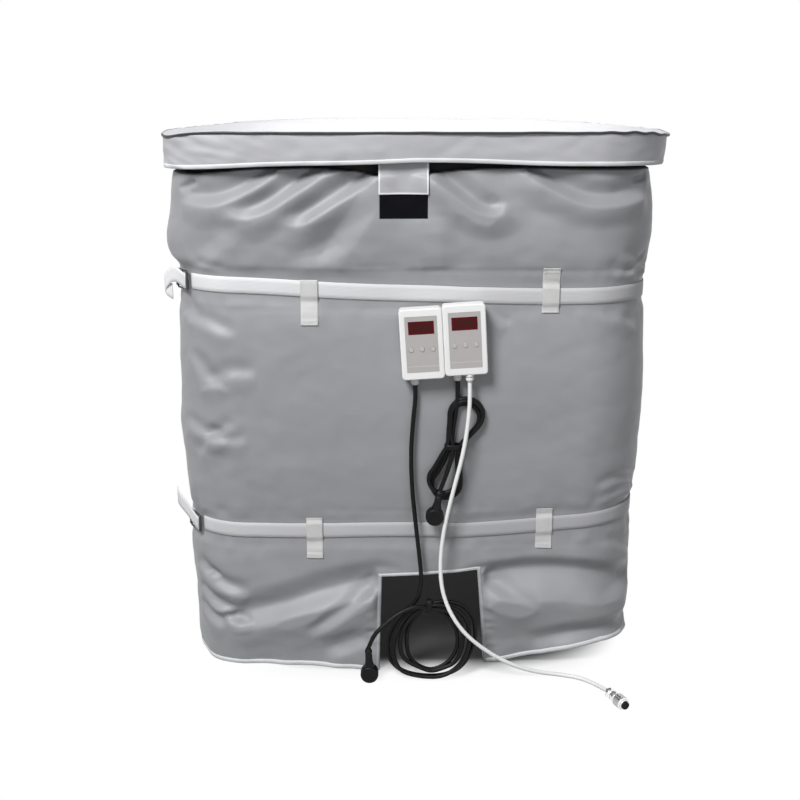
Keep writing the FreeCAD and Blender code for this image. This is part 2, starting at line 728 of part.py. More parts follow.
def strap_line(which, x):
    """Height of a strap's middle at an x."""
    middle = size(which + "_strap_height")
    left = middle + size(which + "_strap_left")
    right = middle + size(which + "_strap_right")
    bend = size("strap_bend_x")
    start, end = (-HALF_X, bend) if which == "upper" else (bend, HALF_X)
    share = min(1.0, max(0.0, (x - start) / (end - start)))
    return left + share * (right - left)


def belt_loop(which, side, place, drop):
    """A cloth strip on the cover with a tunnel that the strap runs through."""
    x_on = {"front": place, "back": place, "left": -HALF_X, "right": HALF_X}[side]
    line = strap_line(which, x_on)
    half = size("loop_width") / 2
    low = line - drop - size("loop_length") / 2
    high = line - drop + size("loop_length") / 2
    areas = {
        "front": ((place - half, -FAR, low), (place + half, -HALF_Y, high)),
        "back": ((place - half, HALF_Y, low), (place + half, FAR, high)),
        "left": ((-FAR, place - half, low), (-HALF_X, place + half, high)),
        "right": ((HALF_X, place - half, low), (FAR, place + half, high)),
    }
    area = box(*areas[side])
    tunnel = size("strap_gap") + size("strap_thickness") + size("loop_room")
    stand = FLAP_STACK if side == "left" else 0
    strip = between(area, COVER_OUT + size("cloth_gap"), COVER_OUT + tunnel + size("loop_thickness") + stand)
    number = 3 if which == "upper" else 1
    room = block(number, COVER_OUT + tunnel + stand, True)
    return strip.cut(room.common(strap_band(which, size("strap_width") / 2 + size("loop_room"))))


feature("upper_strap", strap("upper"))
feature("lower_strap", strap("lower"))
loop_solids = [belt_loop(which, *values) for which in LOOPS for values in LOOPS[which]]
feature("belt_loops", Part.makeCompound(loop_solids))


# Ring buckles and the straps' free tails, on the left front corner

def buckle_frame(which):
    """Place of a buckle: X along the strap round the corner, Y outward, Z up."""
    middle = math.radians((size("buckle_start") + size("buckle_end")) / 2)
    outward = Vector(-math.sin(middle), -math.cos(middle), 0)
    radius = size("tote_corner") + STRAP_OUT + size("buckle_wire") / 2 + 1
    height = strap_line(which, -HALF_X)
    spot = CORNER + outward * radius + Vector(0, 0, height)
    along = Vector(-math.cos(middle), math.sin(middle), 0)
    return Placement(spot, Rotation(along, outward, Vector(0, 0, 1), "ZXY"))


def ring_buckle(which):
    """A rectangular ring of round wire with a middle bar."""
    wire = size("buckle_wire")
    span = math.radians(size("buckle_end") - size("buckle_start"))
    half_wide = span * (size("tote_corner") + STRAP_OUT) / 2
    half_tall = (size("buckle_tall") - wire) / 2
    corner = wire
    points = [
        Vector(-half_wide, 0, -half_tall + corner), Vector(-half_wide, 0, half_tall - corner),
        Vector(-half_wide + corner, 0, half_tall), Vector(half_wide - corner, 0, half_tall),
        Vector(half_wide, 0, half_tall - corner), Vector(half_wide, 0, -half_tall + corner),
        Vector(half_wide - corner, 0, -half_tall), Vector(-half_wide + corner, 0, -half_tall),
    ]
    middles = [
        Vector(-half_wide, 0, half_tall), Vector(half_wide, 0, half_tall),
        Vector(half_wide, 0, -half_tall), Vector(-half_wide, 0, -half_tall),
    ]
    edges = []
    for k in range(4):
        edges.append(Part.LineSegment(points[2 * k], points[2 * k + 1]).toShape())
        first = points[2 * k + 1]
        last = points[(2 * k + 2) % 8]
        hub = Vector(first.x + last.x - middles[k].x, 0, first.z + last.z - middles[k].z)
        bow = hub + (middles[k] - hub).normalize() * corner
        edges.append(Part.Arc(first, bow, last).toShape())
    path = Part.Wire(edges)
    ring = Part.Wire(Part.makeCircle(wire / 2, points[0], Vector(0, 0, 1)))
    frame = path.makePipeShell([ring], True, False)
    bar = Part.makeCylinder(wire / 2, 2 * half_tall, Vector(0, 0, -half_tall))
    return frame.fuse(bar)


def tail(which):
    """The strap's free end: over the buckle, out from the corner and back in a small loop."""
    half = size("strap_width") / 2
    thick = size("tail_thickness")
    stand = size("buckle_wire") / 2 + 0.3
    inner = [
        Vector(-13, stand, 0), Vector(2, stand + 1.5, 3), Vector(18, stand + 6, 10),
        Vector(34, stand + 9, 12), Vector(46, stand + 4, 2), Vector(44, stand - 6, -10),
    ]
    curve = Part.BSplineCurve()
    curve.interpolate(inner)
    start = curve.value(curve.FirstParameter)
    profile = Part.makePolygon([
        start + Vector(0, 0, -half), start + Vector(0, 0, half),
        start + Vector(0, thick, half), start + Vector(0, thick, -half), start + Vector(0, 0, -half),
    ])
    sweep = Part.BRepOffsetAPI.MakePipeShell(Part.Wire(curve.toShape()))
    sweep.setBiNormalMode(Vector(0, 0, 1))
    sweep.add(profile)
    sweep.build()
    sweep.makeSolid()
    return sweep.shape()


for which in ("upper", "lower"):
    ring = feature(which + "_buckle", ring_buckle(which))
    ring.Placement = buckle_frame(which)
    end = feature(which + "_strap_tail", tail(which))
    end.Placement = buckle_frame(which)


# Lid: a shallow box with a skirt that opens out towards the top and a slightly domed top

def lid_block(offset, top, crown):
    """Solid block inside one of the lid's faces."""
    def section(height, grown, inset=0.0):
        radius = max(40.0, size("tote_corner") + grown - inset)
        return outline(height, HALF_X + grown - inset, HALF_Y + grown - inset, radius)

    slope = size("lid_flare") / (LID_EDGE - LID_LOW)
    rim = offset + slope * (top - LID_LOW)
    sections = [section(LID_LOW, offset), section(top, rim)]
    if crown:
        sections.append(section(top + 0.7 * crown, rim, 0.22 * HALF_X))
        sections.append(section(top + crown, rim, 0.55 * HALF_X))
    return Part.makeLoft(sections, True, True)


def below_skirt(rise):
    """Everything lower than a rise above the skirt's hem, which arches up a little in the middle."""
    left = HEM_LEFT + rise
    middle = HEM_MIDDLE + rise
    right = HEM_RIGHT + rise
    deep = LID_LOW - 60
    line = [
        (-FAR, deep), (-FAR, left), (-HALF_X, left), (0, middle), (HALF_X, right), (FAR, right), (FAR, deep),
    ]
    return prism(line, "Y", -FAR, FAR)


CROWN = size("lid_crown")
skirt_trim = below_skirt(size("edge_web") + size("binding_gap"))
lid_layers = {
    "lid_lining": ((LID_LINING_OUT, LID_LINING_TOP, 0), (LID_LINING_IN, LID_LINING_LOW, 0)),
    "lid_insulation": ((LID_PADDING_OUT, LID_PADDING_TOP, CROWN), (LID_PADDING_IN, LID_PADDING_LOW, 0)),
    "lid_cover": ((LID_COVER_OUT, LID_EDGE, CROWN), (LID_COVER_IN, LID_COVER_LOW, CROWN)),
}
for name, (outer, inner) in lid_layers.items():
    feature(name, lid_block(*outer).cut(lid_block(*inner)).cut(skirt_trim))


def skirt_tape():
    """Binding tape folded over the skirt's hem."""
    gap = size("binding_gap")
    tape = size("binding_thickness")
    top = LID_EDGE
    band = below_skirt(size("binding_width") * 0.7).cut(below_skirt(0))
    web = below_skirt(size("edge_web")).cut(below_skirt(0))
    outer = lid_block(LID_COVER_OUT + gap + tape, top, 0)
    outer_leg = outer.cut(lid_block(LID_COVER_OUT + gap, top, 0)).common(band)
    inmost = lid_block(LID_LINING_IN - gap - tape, top, 0)
    inner_leg = lid_block(LID_LINING_IN - gap, top, 0).cut(inmost).common(band)
    return outer_leg.multiFuse([inner_leg, outer.cut(inmost).common(web)]).removeSplitter()


feature("lid_hem_binding", skirt_tape())

piping = size("piping_diameter")
rim = LID_COVER_OUT + size("lid_flare") + piping / 2 + size("binding_gap")
piping_path = outline(LID_EDGE - piping / 2, HALF_X + rim, HALF_Y + rim, size("tote_corner") + rim)
piping_start = piping_path.OrderedVertexes[0].Point
piping_ring = Part.Wire(Part.makeCircle(piping / 2, piping_start, Vector(1, 0, 0)))
feature("lid_piping", piping_path.makePipeShell([piping_ring], True, False))

tab_in = patch_out + size("cloth_gap") + size("patch_thickness") + size("cloth_gap")
tab_area = box((tab_left, -FAR, TAB_FOOT), (tab_right, -HALF_Y, TAB_HEAD))
feature("lid_tab", on_cover(tab_area, tab_in, tab_in + size("tab_thickness")))
tab_hook_area = box(
    (tab_left + 5, -FAR, TAB_FOOT + 4), (tab_right - 5, -HALF_Y, PATCH_HEAD - 2)
)
hook_on_tab = patch_out + size("cloth_gap")
feature("lid_tab_hook", on_cover(tab_hook_area, hook_on_tab, hook_on_tab + size("patch_thickness")))


# Controllers, each modelled with its back's middle at the origin and its front towards -Y

def plane(body, role):
    """One of a body's own origin planes."""
    return next(item for item in body.Origin.OriginFeatures if item.Role == role)


def new_body(name):
    """A body that becomes one sub-part."""
    body = doc.addObject("PartDesign::Body", name)
    body.Label = name
    nodes.append(body)
    return body


def new_sketch(body, name, role, offset="0"):
    """A sketch on an origin plane of the body, moved along its normal by an expression."""
    sketch = body.newObject("Sketcher::SketchObject", name)
    sketch.AttachmentSupport = (plane(body, role), [""])
    sketch.MapMode = "FlatFace"
    sketch.setExpression("AttachmentOffset.Base.z", offset)
    return sketch


def add_rectangle(sketch, key, wide, tall, centre_x="0", centre_y="0"):
    """A rectangle whose sizes and centre are expressions on the sheet."""
    width, height, x, y = (float(sheet.evalExpression(text)) for text in (wide, tall, centre_x, centre_y))
    corners = [
        Vector(x - width / 2, y - height / 2, 0), Vector(x + width / 2, y - height / 2, 0),
        Vector(x + width / 2, y + height / 2, 0), Vector(x - width / 2, y + height / 2, 0),
    ]
    first = sketch.GeometryCount
    for k in range(4):
        sketch.addGeometry(Part.LineSegment(corners[k], corners[(k + 1) % 4]), False)
    for k in range(4):
        sketch.addConstraint(Sketcher.Constraint("Coincident", first + k, 2, first + (k + 1) % 4, 1))
    sketch.addConstraint(Sketcher.Constraint("Horizontal", first))
    sketch.addConstraint(Sketcher.Constraint("Horizontal", first + 2))
    sketch.addConstraint(Sketcher.Constraint("Vertical", first + 1))
    sketch.addConstraint(Sketcher.Constraint("Vertical", first + 3))
    left = f"({centre_x}) - ({wide}) / 2"
    foot = f"({centre_y}) - ({tall}) / 2"
    named = (
        ("wide", Sketcher.Constraint("DistanceX", first, 1, first, 2, width), wide),
        ("tall", Sketcher.Constraint("DistanceY", first + 1, 1, first + 1, 2, height), tall),
        ("left", Sketcher.Constraint("DistanceX", -1, 1, first, 1, corners[0].x), left),
        ("foot", Sketcher.Constraint("DistanceY", -1, 1, first, 1, corners[0].y), foot),
    )
    for word, constraint, expression in named:
        index = sketch.addConstraint(constraint)
        sketch.renameConstraint(index, f"{key}_{word}")
        sketch.setExpression(f"Constraints.{key}_{word}", expression)


def add_circle(sketch, key, diameter, centre_x="0", centre_y="0"):
    """A circle whose size and centre are expressions on the sheet."""
    across, x, y = (float(sheet.evalExpression(text)) for text in (diameter, centre_x, centre_y))
    first = sketch.GeometryCount
    sketch.addGeometry(Part.Circle(Vector(x, y, 0), Vector(0, 0, 1), across / 2), False)
    named = (
        ("across", Sketcher.Constraint("Diameter", first, across), diameter),
        ("x", Sketcher.Constraint("DistanceX", -1, 1, first, 3, x), centre_x),
        ("y", Sketcher.Constraint("DistanceY", -1, 1, first, 3, y), centre_y),
    )
    for word, constraint, expression in named:
        index = sketch.addConstraint(constraint)
        sketch.renameConstraint(index, f"{key}_{word}")
        sketch.setExpression(f"Constraints.{key}_{word}", expression)


def add_pad(body, sketch, name, length, backwards=False):
    """Pushes a sketch out by an expression: towards -Y from the front plane, or back."""
    pad = body.newObject("PartDesign::Pad", name)
    pad.Profile = sketch
    pad.setExpression("Length", length)
    pad.Reversed = backwards
    doc.recompute()
    return pad


def add_pocket(body, sketch, name, length, backwards=False):
    """Cuts a sketch in by an expression, against the sketch's normal, and checks that it cut."""
    before = body.Shape.Volume
    pocket = body.newObject("PartDesign::Pocket", name)
    pocket.Profile = sketch
    pocket.setExpression("Length", length)
    pocket.Reversed = backwards
    doc.recompute()
    if body.Shape.Volume > before - 0.01:
        raise RuntimeError(f"{body.Label}: {name} cuts nothing")
    return pocket


def add_fillet(body, base, name, radius, chosen):
    """Rounds the edges of the last feature that a test picks."""
    edges = [f"Edge{k}" for k, edge in enumerate(base.Shape.Edges, start=1) if chosen(edge)]
    fillet = body.newObject("PartDesign::Fillet", name)
    fillet.Base = (base, edges)
    fillet.setExpression("Radius", radius)
    doc.recompute()
    return fillet


def along_depth(edge):
    """True for a straight edge that runs front to back."""
    ends = edge.BoundBox
    return ends.XLength < 0.01 and ends.ZLength < 0.01


def on_depth(depth):
    """Test for edges that lie in one plane, at a depth in front of the back."""
    def test(edge):
        return abs(edge.BoundBox.YMin + depth) < 0.01 and abs(edge.BoundBox.YMax + depth) < 0.01
    return test


SCREW_X = "(Sizes.case_width / 2 - Sizes.screw_inset)"
SCREW_Z = "(Sizes.case_tall / 2 - Sizes.screw_inset)"
CORNERS = tuple((f"{a} * {SCREW_X}", f"{b} * {SCREW_Z}") for a in (-1, 1) for b in (-1, 1))
BUTTONS = (("left_button", -1), ("middle_button", 0), ("right_button", 1))
GLANDS = {"left": ("mains",), "right": ("mains", "sensor")}
SPLIT = "Sizes.rear_depth"
FRONT = "Sizes.rear_depth + Sizes.front_depth"
PANEL_BACK = "Sizes.rear_depth + Sizes.front_depth - Sizes.panel_recess"


def gland_hole(body, kind):
    """Bores a gland's hole up through a case's lower wall."""
    sketch = new_sketch(body, f"{body.Name}_{kind}_hole", "XY_Plane", "-Sizes.case_tall / 2")
    centre_x = f"Sizes.{kind}_gland_x"
    add_circle(sketch, "bore", "Sizes.gland_neck + 0.2", centre_x, f"-Sizes.{kind}_gland_depth")
    add_pocket(body, sketch, f"{body.Name}_{kind}_bore", "2 * Sizes.case_wall", True)


def rear_case(side):
    """Rear half of a controller: a tray with four bosses."""
    body = new_body(f"{side}_rear_case")
    outer = new_sketch(body, f"{side}_rear_outline", "XZ_Plane")
    add_rectangle(outer, "case", "Sizes.case_width", "Sizes.case_tall")
    block = add_pad(body, outer, f"{side}_rear_block", "Sizes.rear_depth")
    round_corners = add_fillet(body, block, f"{side}_rear_corners", "Sizes.case_corner", along_depth)
    add_fillet(body, round_corners, f"{side}_rear_edge", "Sizes.case_edge", on_depth(0))
    inner = new_sketch(body, f"{side}_rear_inner", "XZ_Plane", SPLIT)
    add_rectangle(
        inner, "room", "Sizes.case_width - 2 * Sizes.case_wall", "Sizes.case_tall - 2 * Sizes.case_wall"
    )
    add_pocket(body, inner, f"{side}_rear_room", "Sizes.rear_depth - Sizes.case_wall")
    bosses = new_sketch(body, f"{side}_rear_boss_plan", "XZ_Plane", "Sizes.case_wall / 2")
    holes = new_sketch(body, f"{side}_rear_hole_plan", "XZ_Plane", SPLIT)
    heads = new_sketch(body, f"{side}_rear_head_plan", "XZ_Plane", "2 * Sizes.case_wall")
    for k, (x, z) in enumerate(CORNERS):
        add_circle(bosses, f"boss{k}", "Sizes.boss_diameter", x, z)
        add_circle(holes, f"hole{k}", "Sizes.screw_diameter + 0.4", x, z)
        add_circle(heads, f"head{k}", "Sizes.screw_head + 0.4", x, z)
    add_pad(body, bosses, f"{side}_rear_bosses", "Sizes.rear_depth - Sizes.case_wall / 2")
    add_pocket(body, holes, f"{side}_rear_holes", "Sizes.rear_depth")
    add_pocket(body, heads, f"{side}_rear_heads", "2 * Sizes.case_wall")
    gland_hole(body, "mains")
    exit_plan = new_sketch(body, f"{side}_rear_lead_plan", "XZ_Plane", "Sizes.case_wall")
    add_circle(exit_plan, "lead", "Sizes.lead_diameter + 0.6", "0", f"Sizes.{side}_lead_z")
    add_pocket(body, exit_plan, f"{side}_rear_lead_hole", "Sizes.case_wall")
    return body


def front_case(side):
    """Front half of a controller: the white bezel with the panel's seat, window and button holes."""
    body = new_body(f"{side}_front_case")
    outer = new_sketch(body, f"{side}_front_outline", "XZ_Plane", SPLIT)
    add_rectangle(outer, "case", "Sizes.case_width", "Sizes.case_tall")
    block = add_pad(body, outer, f"{side}_front_block", "Sizes.front_depth")
    round_corners = add_fillet(body, block, f"{side}_front_corners", "Sizes.case_corner", along_depth)
    add_fillet(body, round_corners, f"{side}_front_edge", "Sizes.case_edge", on_depth(CASE_DEPTH))
    inner = new_sketch(body, f"{side}_front_inner", "XZ_Plane", SPLIT)
    add_rectangle(
        inner, "room", "Sizes.case_width - 2 * Sizes.case_wall", "Sizes.case_tall - 2 * Sizes.case_wall"
    )
    room_depth = "Sizes.front_depth - Sizes.panel_recess - Sizes.case_wall"
    add_pocket(body, inner, f"{side}_front_room", room_depth, True)
    bosses = new_sketch(body, f"{side}_front_boss_plan", "XZ_Plane", SPLIT)
    holes = new_sketch(body, f"{side}_front_hole_plan", "XZ_Plane", SPLIT)
    for k, (x, z) in enumerate(CORNERS):
        add_circle(bosses, f"boss{k}", "Sizes.boss_diameter", x, z)
        add_circle(holes, f"hole{k}", "Sizes.screw_diameter", x, z)
    boss_length = "Sizes.front_depth - Sizes.panel_recess - Sizes.case_wall / 2"
    add_pad(body, bosses, f"{side}_front_bosses", boss_length)
    add_pocket(body, holes, f"{side}_front_holes", "Sizes.front_depth / 2", True)
    seat = new_sketch(body, f"{side}_panel_seat", "XZ_Plane", FRONT)
    add_rectangle(
        seat, "seat", "Sizes.panel_width + 2 * Sizes.panel_fit", "Sizes.panel_tall + 2 * Sizes.panel_fit"
    )
    add_pocket(body, seat, f"{side}_panel_seat_cut", "Sizes.panel_recess")
    opening = new_sketch(body, f"{side}_openings", "XZ_Plane", FRONT)
    add_rectangle(
        opening, "window", "Sizes.window_width + 0.4", "Sizes.window_tall + 0.4", "0", "Sizes.window_up"
    )
    for word, place in BUTTONS:
        hole = "Sizes.button_diameter + 2 * Sizes.button_room"
        add_circle(opening, word, hole, f"{place} * Sizes.button_pitch", "-Sizes.button_down")
    add_pocket(body, opening, f"{side}_openings_cut", "Sizes.front_depth")
    if "sensor" in GLANDS[side]:
        gland_hole(body, "sensor")
    return body


def panel(side):
    """Grey face panel in the front case's seat."""
    body = new_body(f"{side}_panel")
    plan = new_sketch(body, f"{side}_panel_plan", "XZ_Plane", PANEL_BACK)
    add_rectangle(plan, "panel", "Sizes.panel_width", "Sizes.panel_tall")
    opening = ("Sizes.window_width + 0.4", "Sizes.window_tall + 0.4")
    add_rectangle(plan, "window", *opening, "0", "Sizes.window_up")
    for word, place in BUTTONS:
        hole = "Sizes.button_diameter + 2 * Sizes.button_room"
        add_circle(plan, word, hole, f"{place} * Sizes.button_pitch", "-Sizes.button_down")
    add_pad(body, plan, f"{side}_panel_sheet", "Sizes.panel_thickness")
    return body


def window(side):
    """Dark red display window, flush with the panel."""
    pane = doc.addObject("Part::Box", f"{side}_display_window")
    pane.setExpression("Length", "Sizes.window_width")
    pane.setExpression("Height", "Sizes.window_tall")
    pane.setExpression("Width", "Sizes.window_thickness")
    pane.Label = f"{side}_display_window"
    nodes.append(pane)
    front = CASE_DEPTH - size("panel_recess") + size("panel_thickness")
    corner = Vector(-size("window_width") / 2, -front, size("window_up") - size("window_tall") / 2)
    pane.Placement = case_place(side).multiply(Placement(corner, Rotation()))
    return pane


BOARD_FRONT = "Sizes.rear_depth - 1"


def board(side):
    """Circuit board on the rear case's bosses' height, with its display, switches and relay."""
    body = new_body(f"{side}_circuit_board")
    plan = new_sketch(body, f"{side}_board_plan", "XZ_Plane", f"{BOARD_FRONT} - Sizes.board_thickness")
    wide = "Sizes.case_width - 2 * Sizes.screw_inset - Sizes.boss_diameter - 1"
    tall = "Sizes.case_tall - 2 * Sizes.case_wall - 2"
    add_rectangle(plan, "board", wide, tall)
    add_pad(body, plan, f"{side}_board_sheet", "Sizes.board_thickness")
    module = new_sketch(body, f"{side}_display_plan", "XZ_Plane", f"{BOARD_FRONT} - 0.1")
    display = ("Sizes.window_width - 4", "Sizes.window_tall - 4")
    add_rectangle(module, "display", *display, "0", "Sizes.window_up")
    reach = "Sizes.front_depth - Sizes.panel_recess + Sizes.panel_thickness - Sizes.window_thickness + 0.6"
    add_pad(body, module, f"{side}_display_module", reach)
    switches = new_sketch(body, f"{side}_switch_plan", "XZ_Plane", f"{BOARD_FRONT} - 0.1")
    for word, place in BUTTONS:
        add_rectangle(switches, word, "6", "6", f"{place} * Sizes.button_pitch", "-Sizes.button_down")
    add_pad(body, switches, f"{side}_switches", "4")
    relay = new_sketch(body, f"{side}_relay_plan", "XZ_Plane", f"{BOARD_FRONT} - Sizes.board_thickness + 0.1")
    add_rectangle(relay, "relay", "19", "15", "12", "24")
    add_pad(body, relay, f"{side}_relay", "9", True)
    return body


def button(side, word, place):
    """Button cap with a rim that keeps it behind the front case."""
    body = new_body(f"{side}_{word}")
    centre_x = f"{place} * Sizes.button_pitch"
    cap = new_sketch(body, f"{side}_{word}_cap_plan", "XZ_Plane", "Sizes.rear_depth + 5")
    add_circle(cap, "cap", "Sizes.button_diameter", centre_x, "-Sizes.button_down")
    reach = "Sizes.front_depth - 5 - Sizes.panel_recess + Sizes.panel_thickness + Sizes.button_stand"
    add_pad(body, cap, f"{side}_{word}_cap", reach)
    rim_plan = new_sketch(body, f"{side}_{word}_rim_plan", "XZ_Plane", "Sizes.rear_depth + 5")
    add_circle(
        rim_plan, "rim", "Sizes.button_diameter + 2 * Sizes.button_flange", centre_x, "-Sizes.button_down"
    )
    inside = "Sizes.front_depth - Sizes.panel_recess - Sizes.case_wall - 5 - 0.2"
    last = add_pad(body, rim_plan, f"{side}_{word}_rim", inside)
    front = CASE_DEPTH - size("panel_recess") + size("panel_thickness") + size("button_stand")
    add_fillet(body, last, f"{side}_{word}_edge", "Sizes.button_stand / 2", on_depth(front))
    return body


def gland(side, kind, depth):
    """Cable gland under a case: neck through the wall, body and dome."""
    body = new_body(f"{side}_{kind}_gland")
    sketch = new_sketch(body, f"{side}_{kind}_gland_profile", "XZ_Plane")
    radius = size("gland_diameter") / 2
    neck = size("gland_neck") / 2
    cord = size(f"{kind}_diameter") / 2
    bore = cord
    length = size("gland_length")
    wall_up = size("case_wall") + 1
    points = [
        (bore, wall_up), (neck, wall_up), (neck, 0), (radius, 0), (radius, -0.4 * length),
        (radius * 0.86, -0.72 * length), (cord + 1.2, -length), (bore, -length),
    ]
    for k, (x, z) in enumerate(points):
        next_x, next_z = points[(k + 1) % len(points)]
        sketch.addGeometry(Part.LineSegment(Vector(x, z, 0), Vector(next_x, next_z, 0)), False)
    for k, (x, z) in enumerate(points):
        sketch.addConstraint(Sketcher.Constraint("Coincident", k, 2, (k + 1) % len(points), 1))
        sketch.addConstraint(Sketcher.Constraint("DistanceX", -1, 1, k, 1, x))
        sketch.addConstraint(Sketcher.Constraint("DistanceY", -1, 1, k, 1, z))
    turned = body.newObject("PartDesign::Revolution", f"{side}_{kind}_gland_turned")
    turned.Profile = sketch
    turned.ReferenceAxis = (sketch, ["V_Axis"])
    turned.Angle = 360
    doc.recompute()
    centre = Vector(size(f"{kind}_gland_x"), -depth, -size("case_tall") / 2)
    body.Placement = case_place(side).multiply(Placement(centre, Rotation()))
    return body


# How far in front of a controller's back each gland sits, and which half of the case holds it
GLAND_DEPTHS = {"mains": size("mains_gland_depth"), "sensor": size("sensor_gland_depth")}
screws = []
pads = []
for side in CASES:
    for piece in (rear_case(side), front_case(side), panel(side), board(side)):
        piece.Placement = case_place(side)
    window(side)
    for word, place in BUTTONS:
        button(side, word, place).Placement = case_place(side)
    for kind in GLANDS[side]:
        gland(side, kind, GLAND_DEPTHS[kind])
    reach_x = size("case_width") / 2 - size("screw_inset")
    reach_z = size("case_tall") / 2 - size("screw_inset")
    for x, z in ((a * reach_x, b * reach_z) for a in (-1, 1) for b in (-1, 1)):
        length = size("rear_depth") + 4
        shank = Part.makeCylinder(size("screw_diameter") / 2, length, Vector(x, -2, z), Vector(0, -1, 0))
        head = Part.makeCylinder(size("screw_head") / 2, 2, Vector(x, -0.4, z), Vector(0, -1, 0))
        screw = shank.fuse(head)
        screw.Placement = case_place(side)
        screws.append(screw)
    slab = box((-26, -size("cloth_gap") + 0.2, -52), (26, 30, 52))
    slab.Placement = case_place(side)
    behind = [block(k, COVER_OUT + size("cloth_gap"), True) for k in (2, 3)]
    pads.append(slab.cut(behind + [lead_hole(side, size("layer_gap"))]))
feature("case_screws", Part.makeCompound(screws))
feature("controller_pads", Part.makeCompound(pads))


# Cords. Their routes are lists of points chosen by hand.

def gland_tip(side, kind):
    """Where a cord leaves its gland."""
    low = -size("case_tall") / 2 - size("gland_length")
    return case_point(side, size(f"{kind}_gland_x"), GLAND_DEPTHS[kind], low)


def plate(points, thick):
    """A flat piece with a smooth closed outline through points, standing in the XZ plane."""
    curve = Part.BSplineCurve()
    curve.interpolate([Vector(x, -thick / 2, z) for x, z in points], PeriodicFlag=True)
    return Part.Face(Part.Wire(curve.toShape())).extrude(Vector(0, thick, 0))


# Coil of the left cord: it stands on the ground and leans back against the cut-out's top edge.
# Outline and hole, seen square on, from the coil's middle
COIL_RIM = (
    (-13, 88), (-44, 62), (-76, 28), (-93, -8), (-91, -44), (-69, -70), (-25, -82),
    (20, -85), (60, -69), (87, -28), (92, 12), (81, 54), (56, 78), (20, 86),
)
COIL_HOLE = ((-7, 38), (-41, -6), (-38, -38), (-22, -58), (0, -64), (28, -51), (47, -17), (26, 18))
COIL_PLACE = Placement(Vector(39, -678, 85), Rotation(Vector(1, 0, 0), -size("coil_lean")))
coil = plate(COIL_RIM, size("coil_thick")).cut(plate(COIL_HOLE, 2 * size("coil_thick")))
coil.Placement = COIL_PLACE
feature("left_coil", coil)


def plug_solid():
    """Right-angle plug: round head facing -Y, pins at its back, strain relief straight up."""
    radius = size("plug_head") / 2
    thick = size("plug_thick")
    head = Part.makeCylinder(radius, thick, Vector(0, 0, 0), Vector(0, -1, 0))
    head = head.makeFillet(3, [edge for edge in head.Edges if edge.BoundBox.YLength < 0.01])
    relief = Part.makeCone(thick / 2 - 2, size("plug_relief_end") / 2, size("plug_relief") + 6,
                           Vector(0, -thick / 2, radius - 6))
    pins = []
    for side in (-1, 1):
        foot = Vector(side * size("plug_pin_pitch") / 2, -3, 0)
        length = size("plug_pin_length") + 3
        pins.append(Part.makeCylinder(size("plug_pin") / 2, length, foot, Vector(0, 1, 0)))
    return head.multiFuse([relief] + pins)


def plug_tip(place):
    """Where the cord enters a plug."""
    return place.multVec(Vector(0, -size("plug_thick") / 2, size("plug_head") / 2 + size("plug_relief")))


LEFT_PLUG = Placement(Vector(-82, -694, 19.5), Rotation(Vector(0, 1, 0), -2))
RIGHT_PLUG = Placement(Vector(44, -647.5, 329), Rotation(Vector(0, 1, 0), 11))
left_plug = feature("left_plug", plug_solid())
left_plug.Placement = LEFT_PLUG
right_plug = feature("right_plug", plug_solid())
right_plug.Placement = RIGHT_PLUG

# Hank of the right cord: bound at its waist, flat against the cover
HANK_RIM = (
    (88, 566), (70, 553), (65, 520), (66, 490), (68, 472), (62, 452), (46, 425), (35, 402), (35, 378),
    (45, 365), (59, 370), (68, 395), (77, 425), (86, 450), (92, 470), (104, 487), (128, 508), (141, 536),
    (131, 559), (111, 568),
)
hank_y = cover_y(520) - size("layer_gap") - size("tie_thickness") - size("hank_thick") / 2
hank_free = plate(HANK_RIM, size("hank_thick"))
hank_free.translate(Vector(0, hank_y, 0))
hank = hank_free.cut(right_plug.Shape)
feature("right_hank", hank)

left_tip = gland_tip("left", "mains")
left_points = (
    tuple(left_tip), (7, -647, 565), (3, -647, 525), (-2, -647, 458), (0, -647, 385), (8, -647, 306),
    (16, -649, 236), (20, -657, 192), (21, -662, 164),
)
cord = tube("left_cord", left_points, size("mains_diameter"))
feature("left_cord", cord.cut(coil))

tail_points = (
    (24, -677, 153), (-3, -680, 147), (-31, -688, 135), (-56, -697, 116), (-75, -703, 98),
    tuple(plug_tip(LEFT_PLUG)),
)
cord = tube("left_cord_tail", tail_points, size("mains_diameter"))
feature("left_cord_tail", cord.cut([coil, left_plug.Shape]))

right_tip = gland_tip("right", "mains")
right_points = (
    tuple(right_tip), (85.4, right_tip.y, 583), (85, right_tip.y - 0.5, 571), (85.5, right_tip.y - 1, 559),
)
cord = tube("right_cord", right_points, size("mains_diameter"))
feature("right_cord", cord.cut(hank))

# Round metal connector on the ground: its rear's middle, and the way it points
PLUG_REAR = Vector(373, -759, 0) + Vector(0, 0, size("connector_ring") / 2)
PLUG_WAY = Vector(24, -52, 0).normalize()

sensor_tip = gland_tip("right", "sensor")
rear = PLUG_REAR
sensor_points = (
    tuple(sensor_tip), (107.5, sensor_tip.y - 0.5, 573), (106.5, -660.5, 531), (98, -662, 461),
    (79, -662, 383),
    (62, -662, 306), (55, -664, 238), (58, -673, 183), (74, -685, 139), (102, -694, 99), (141, -695, 65),
    (190, -693, 33), (241, -688, 13), (292, -684, 4.4), (331, -696, 4.4), (360, -731, 8), tuple(rear),
)
feature("sensor_cord", tube("sensor_cord", sensor_points, size("sensor_diameter")))


def turned(points):
    """A solid of revolution about the connector's axis: pairs of distance along it and radius."""
    corners = [Vector(along, radius, 0) for along, radius in points]
    face = Part.Face(Part.makePolygon(corners + [corners[0]]))
    solid = face.revolve(Vector(0, 0, 0), Vector(1, 0, 0), 360)
    solid.Placement = Placement(PLUG_REAR, Rotation(Vector(1, 0, 0), PLUG_WAY))
    return solid


